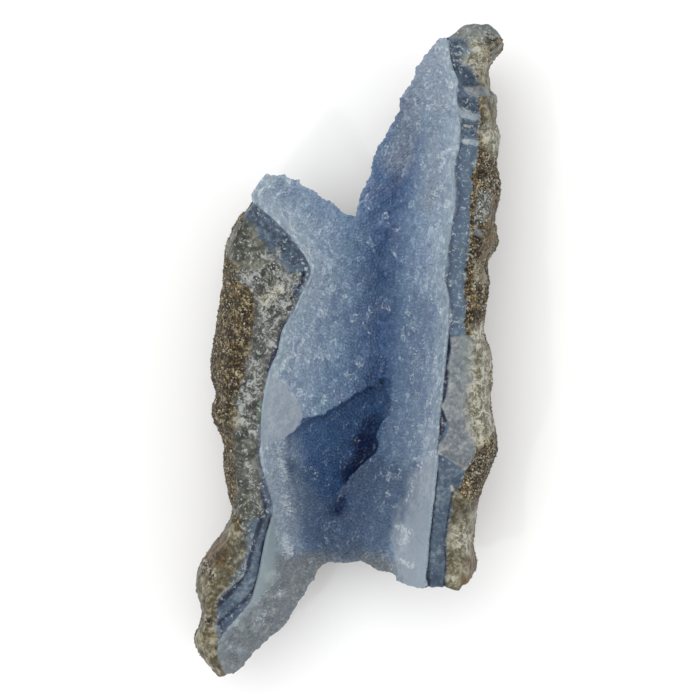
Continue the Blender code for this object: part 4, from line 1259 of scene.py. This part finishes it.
def druzy_material():
    n = Nodes("quartz_druzy")
    place = n.place()
    cloud = n.math("SUBTRACT", n.noise(place, 9, 4, 0.6), 0.5)
    mottle = n.math("SUBTRACT", n.noise(place, 2.6, 3, 0.6), 0.5)
    # Darker and bluer towards the valley line: partly the crystals' deeper blue there, partly painted shade in the
    # valley.
    share = n.math("ADD", n.number("share"), n.math("MULTIPLY_ADD", cloud, 0.3, n.math("MULTIPLY", mottle, 0.2)))
    colour = n.ramp(
        share,
        (
            (0.0, (64, 88, 122)), (0.18, (90, 113, 144)), (0.42, (119, 141, 164)),
            (0.75, (141, 157, 174)), (1.0, (152, 165, 175)),
        ),
    )
    colour = n.mix(n.between(n.noise(place, 14, 3), 0.5, 0.7, 0.0, 0.2), colour, srgb(112, 142, 152))
    colour = n.mix(n.between(n.noise(place, 11, 3), 0.5, 0.68, 0.0, 0.22), colour, srgb(138, 142, 170))
    grain = n.noise(place, 1.0, 3, 0.6)
    smooth = n.between(n.number("chip"), 0.1, -0.25)
    chip = n.mix(n.between(n.noise(place, 4, 3), 0.35, 0.65), srgb(146, 156, 166), srgb(162, 170, 178))
    colour = n.mix(n.math("MULTIPLY", smooth, 0.85), colour, chip)
    colour = n.mix(n.math("MULTIPLY", smooth, n.between(grain, 0.35, 0.6, 0.25, 0.0)), colour, srgb(104, 116, 130))
    flake, flake_edge = n.shards(place, 2.6)
    rough = n.math("SUBTRACT", 1.0, smooth)
    darker = n.math("MULTIPLY", rough, n.between(flake, 0.0, 0.35, 1.0, 0.0))
    paler = n.math("MULTIPLY", rough, n.between(flake, 0.65, 1.0))
    colour = n.mix(darker, colour, (0.78, 0.81, 0.86, 1), "MULTIPLY")
    colour = n.mix(paler, colour, (1.26, 1.22, 1.16, 1), "MULTIPLY")
    waver = n.math("MULTIPLY_ADD", cloud, 7.0, n.math("MULTIPLY", mottle, 4.0))
    in_pocket = n.between(n.math("MULTIPLY_ADD", mottle, 1.5, n.number("pocket")), -0.3, 0.4)
    # Each zone's colour over the crystals: painted shade in the pocket, over the lower valley, along the valley line
    # and on the lower right wall; lighter or darker crystals elsewhere.
    for zone, colour_there, strength, soft in ZONE_LOOKS:
        where = n.math("MULTIPLY_ADD", waver, soft / 4, n.number(zone))
        zone_share = n.between(where, soft, -soft / 2, 0.0, strength)
        # The pocket's painted shade stays inside the pocket.
        if zone in ("pocket_shade", "pocket_deep_shade"):
            zone_share = n.math("MULTIPLY", zone_share, in_pocket)
        colour = n.mix(zone_share, colour, srgb(*colour_there))
    streak = n.between(n.streaks(place, 48, 0.9), 0.36, 0.6, 0.45, 0.0)
    streak = n.math("MULTIPLY", streak, n.between(n.number("dusk"), 2, -2))
    colour = n.mix(streak, colour, (0.72, 0.75, 0.8, 1), "MULTIPLY")
    lip = n.between(n.math("ADD", n.number("lip"), n.math("MULTIPLY", cloud, 3.0)), 2.2, 0.4)
    tail = n.math("MINIMUM", n.number("sea"), n.number("dusk"))
    lip = n.math("MULTIPLY", lip, n.between(tail, 0, 2, 0.1, 0.5))
    colour = n.mix(lip, colour, srgb(132, 147, 157))
    shade = n.number("shade")
    sugar = n.math("MULTIPLY", rough, n.between(grain, 0.35, 0.65, 0.26, 0.0))
    colour = n.mix(sugar, colour, srgb(36, 50, 84))
    light_crystal = n.math("MULTIPLY", rough, n.between(shade, 0.6, 1.0))
    colour = n.mix(light_crystal, colour, (1.35, 1.32, 1.28, 1), "MULTIPLY")
    flaky = n.math("SUBTRACT", n.noise(place, 0.9, 4, 0.65, 0.6), 0.5)
    frost = n.math("MULTIPLY_ADD", flaky, 8.0, n.number("frost"))
    # Small white flecks and rings at flake edges: partly white crystal bits, partly painted glints; fewer in the
    # pocket.
    flecks = n.between(n.noise(place, 0.8, 3, 0.6, 0.6), 0.7, 0.75, 0.0, 0.6)
    ring = n.math("MULTIPLY", n.between(flake_edge, 0.02, 0.08), n.between(flake_edge, 0.24, 0.14))
    ring = n.math("MULTIPLY", ring, n.between(n.math("ADD", flake, n.math("MULTIPLY", mottle, 0.6)), 0.86, 0.95))
    ring = n.math("MULTIPLY", ring, n.between(grain, 0.4, 0.55, 0.0, 0.7))
    flecks = n.math("MAXIMUM", flecks, n.math("MULTIPLY", ring, rough))
    flecks = n.math("MULTIPLY", flecks, n.between(n.number("pocket"), -1, 1, 1.0, 0.35))
    white = n.math("MAXIMUM", n.between(frost, -0.5, -1.0, 0.0, 0.7), flecks)
    colour = n.mix(white, colour, srgb(188, 196, 201))
    n.set(Base_Color=colour, Roughness=n.between(shade, 0.88, 1.0, 0.5, 0.2), Specular_IOR_Level=0.25)
    n.set(Subsurface_Weight=0.2, Subsurface_Radius=(0.6, 0.8, 1.0), Subsurface_Scale=0.0015)
    return n.material


def make_stage():
    """A pale floor and soft studio light from above."""
    bpy.ops.mesh.primitive_plane_add(size=6)
    floor = bpy.context.object
    floor.name = "floor"
    paper = Nodes("floor_paper")
    tint = paper.mix(paper.noise(paper.place(), 120, 2), (0.94, 0.94, 0.94, 1), (0.96, 0.96, 0.96, 1))
    paper.set(Base_Color=tint, Roughness=0.9)
    floor.data.materials.append(paper.material)

    world = bpy.context.scene.world or bpy.data.worlds.new("studio")
    bpy.context.scene.world = world
    world.use_nodes = True
    world.node_tree.nodes["Background"].inputs["Color"].default_value = (1, 1, 1, 1)
    world.node_tree.nodes["Background"].inputs["Strength"].default_value = 0.96
    for name, place, size, power in (
        ("overhead", (-0.3, 0.3, 1.0), 0.9, 3.8),
        ("side", (0.7, -0.2, 0.8), 0.4, 1.0),
        ("spark", (-0.5, -0.5, 1.2), 0.05, 1.1),
    ):
        light = bpy.data.lights.new(name, "AREA")
        light.size = size
        light.energy = power
        lamp = bpy.data.objects.new(name, light)
        lamp.location = place
        lamp.rotation_euler = (-Vector(place)).to_track_quat("-Z", "Y").to_euler()
        bpy.context.scene.collection.objects.link(lamp)


PICTURE_SIDE = 0.210
CAMERA_DISTANCE = 2.4
FOCUS_HEIGHT = 0.035


def make_camera():
    """Straight above, with a long lens that frames the photograph's 700 by 700 pixels at 0.3 mm each."""
    data = bpy.data.cameras.new("camera")
    data.sensor_width = 36
    data.lens = data.sensor_width * CAMERA_DISTANCE / PICTURE_SIDE
    camera = bpy.data.objects.new("camera", data)
    camera.location = (SHIFT[0] * MM, SHIFT[1] * MM, FOCUS_HEIGHT + CAMERA_DISTANCE)
    bpy.context.scene.collection.objects.link(camera)
    bpy.context.scene.camera = camera
    bpy.context.scene.view_settings.view_transform = "Standard"


def place_piece(piece, material):
    piece.data.materials.clear()
    piece.data.materials.append(material)
    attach(piece, "root")


make_stage()
make_camera()
stone = make_stone()
grains = make_grains(stone)
place_piece(stone, stone_material())
place_piece(grains, grain_material())
druzy = make_druzy()
place_piece(druzy, druzy_material())
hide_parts("stone")
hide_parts("druzy_crust")
for piece in bpy.context.scene.objects:
    if piece.type == "MESH":
        print("PIECE", piece.name, sum(len(face.vertices) - 2 for face in piece.data.polygons))
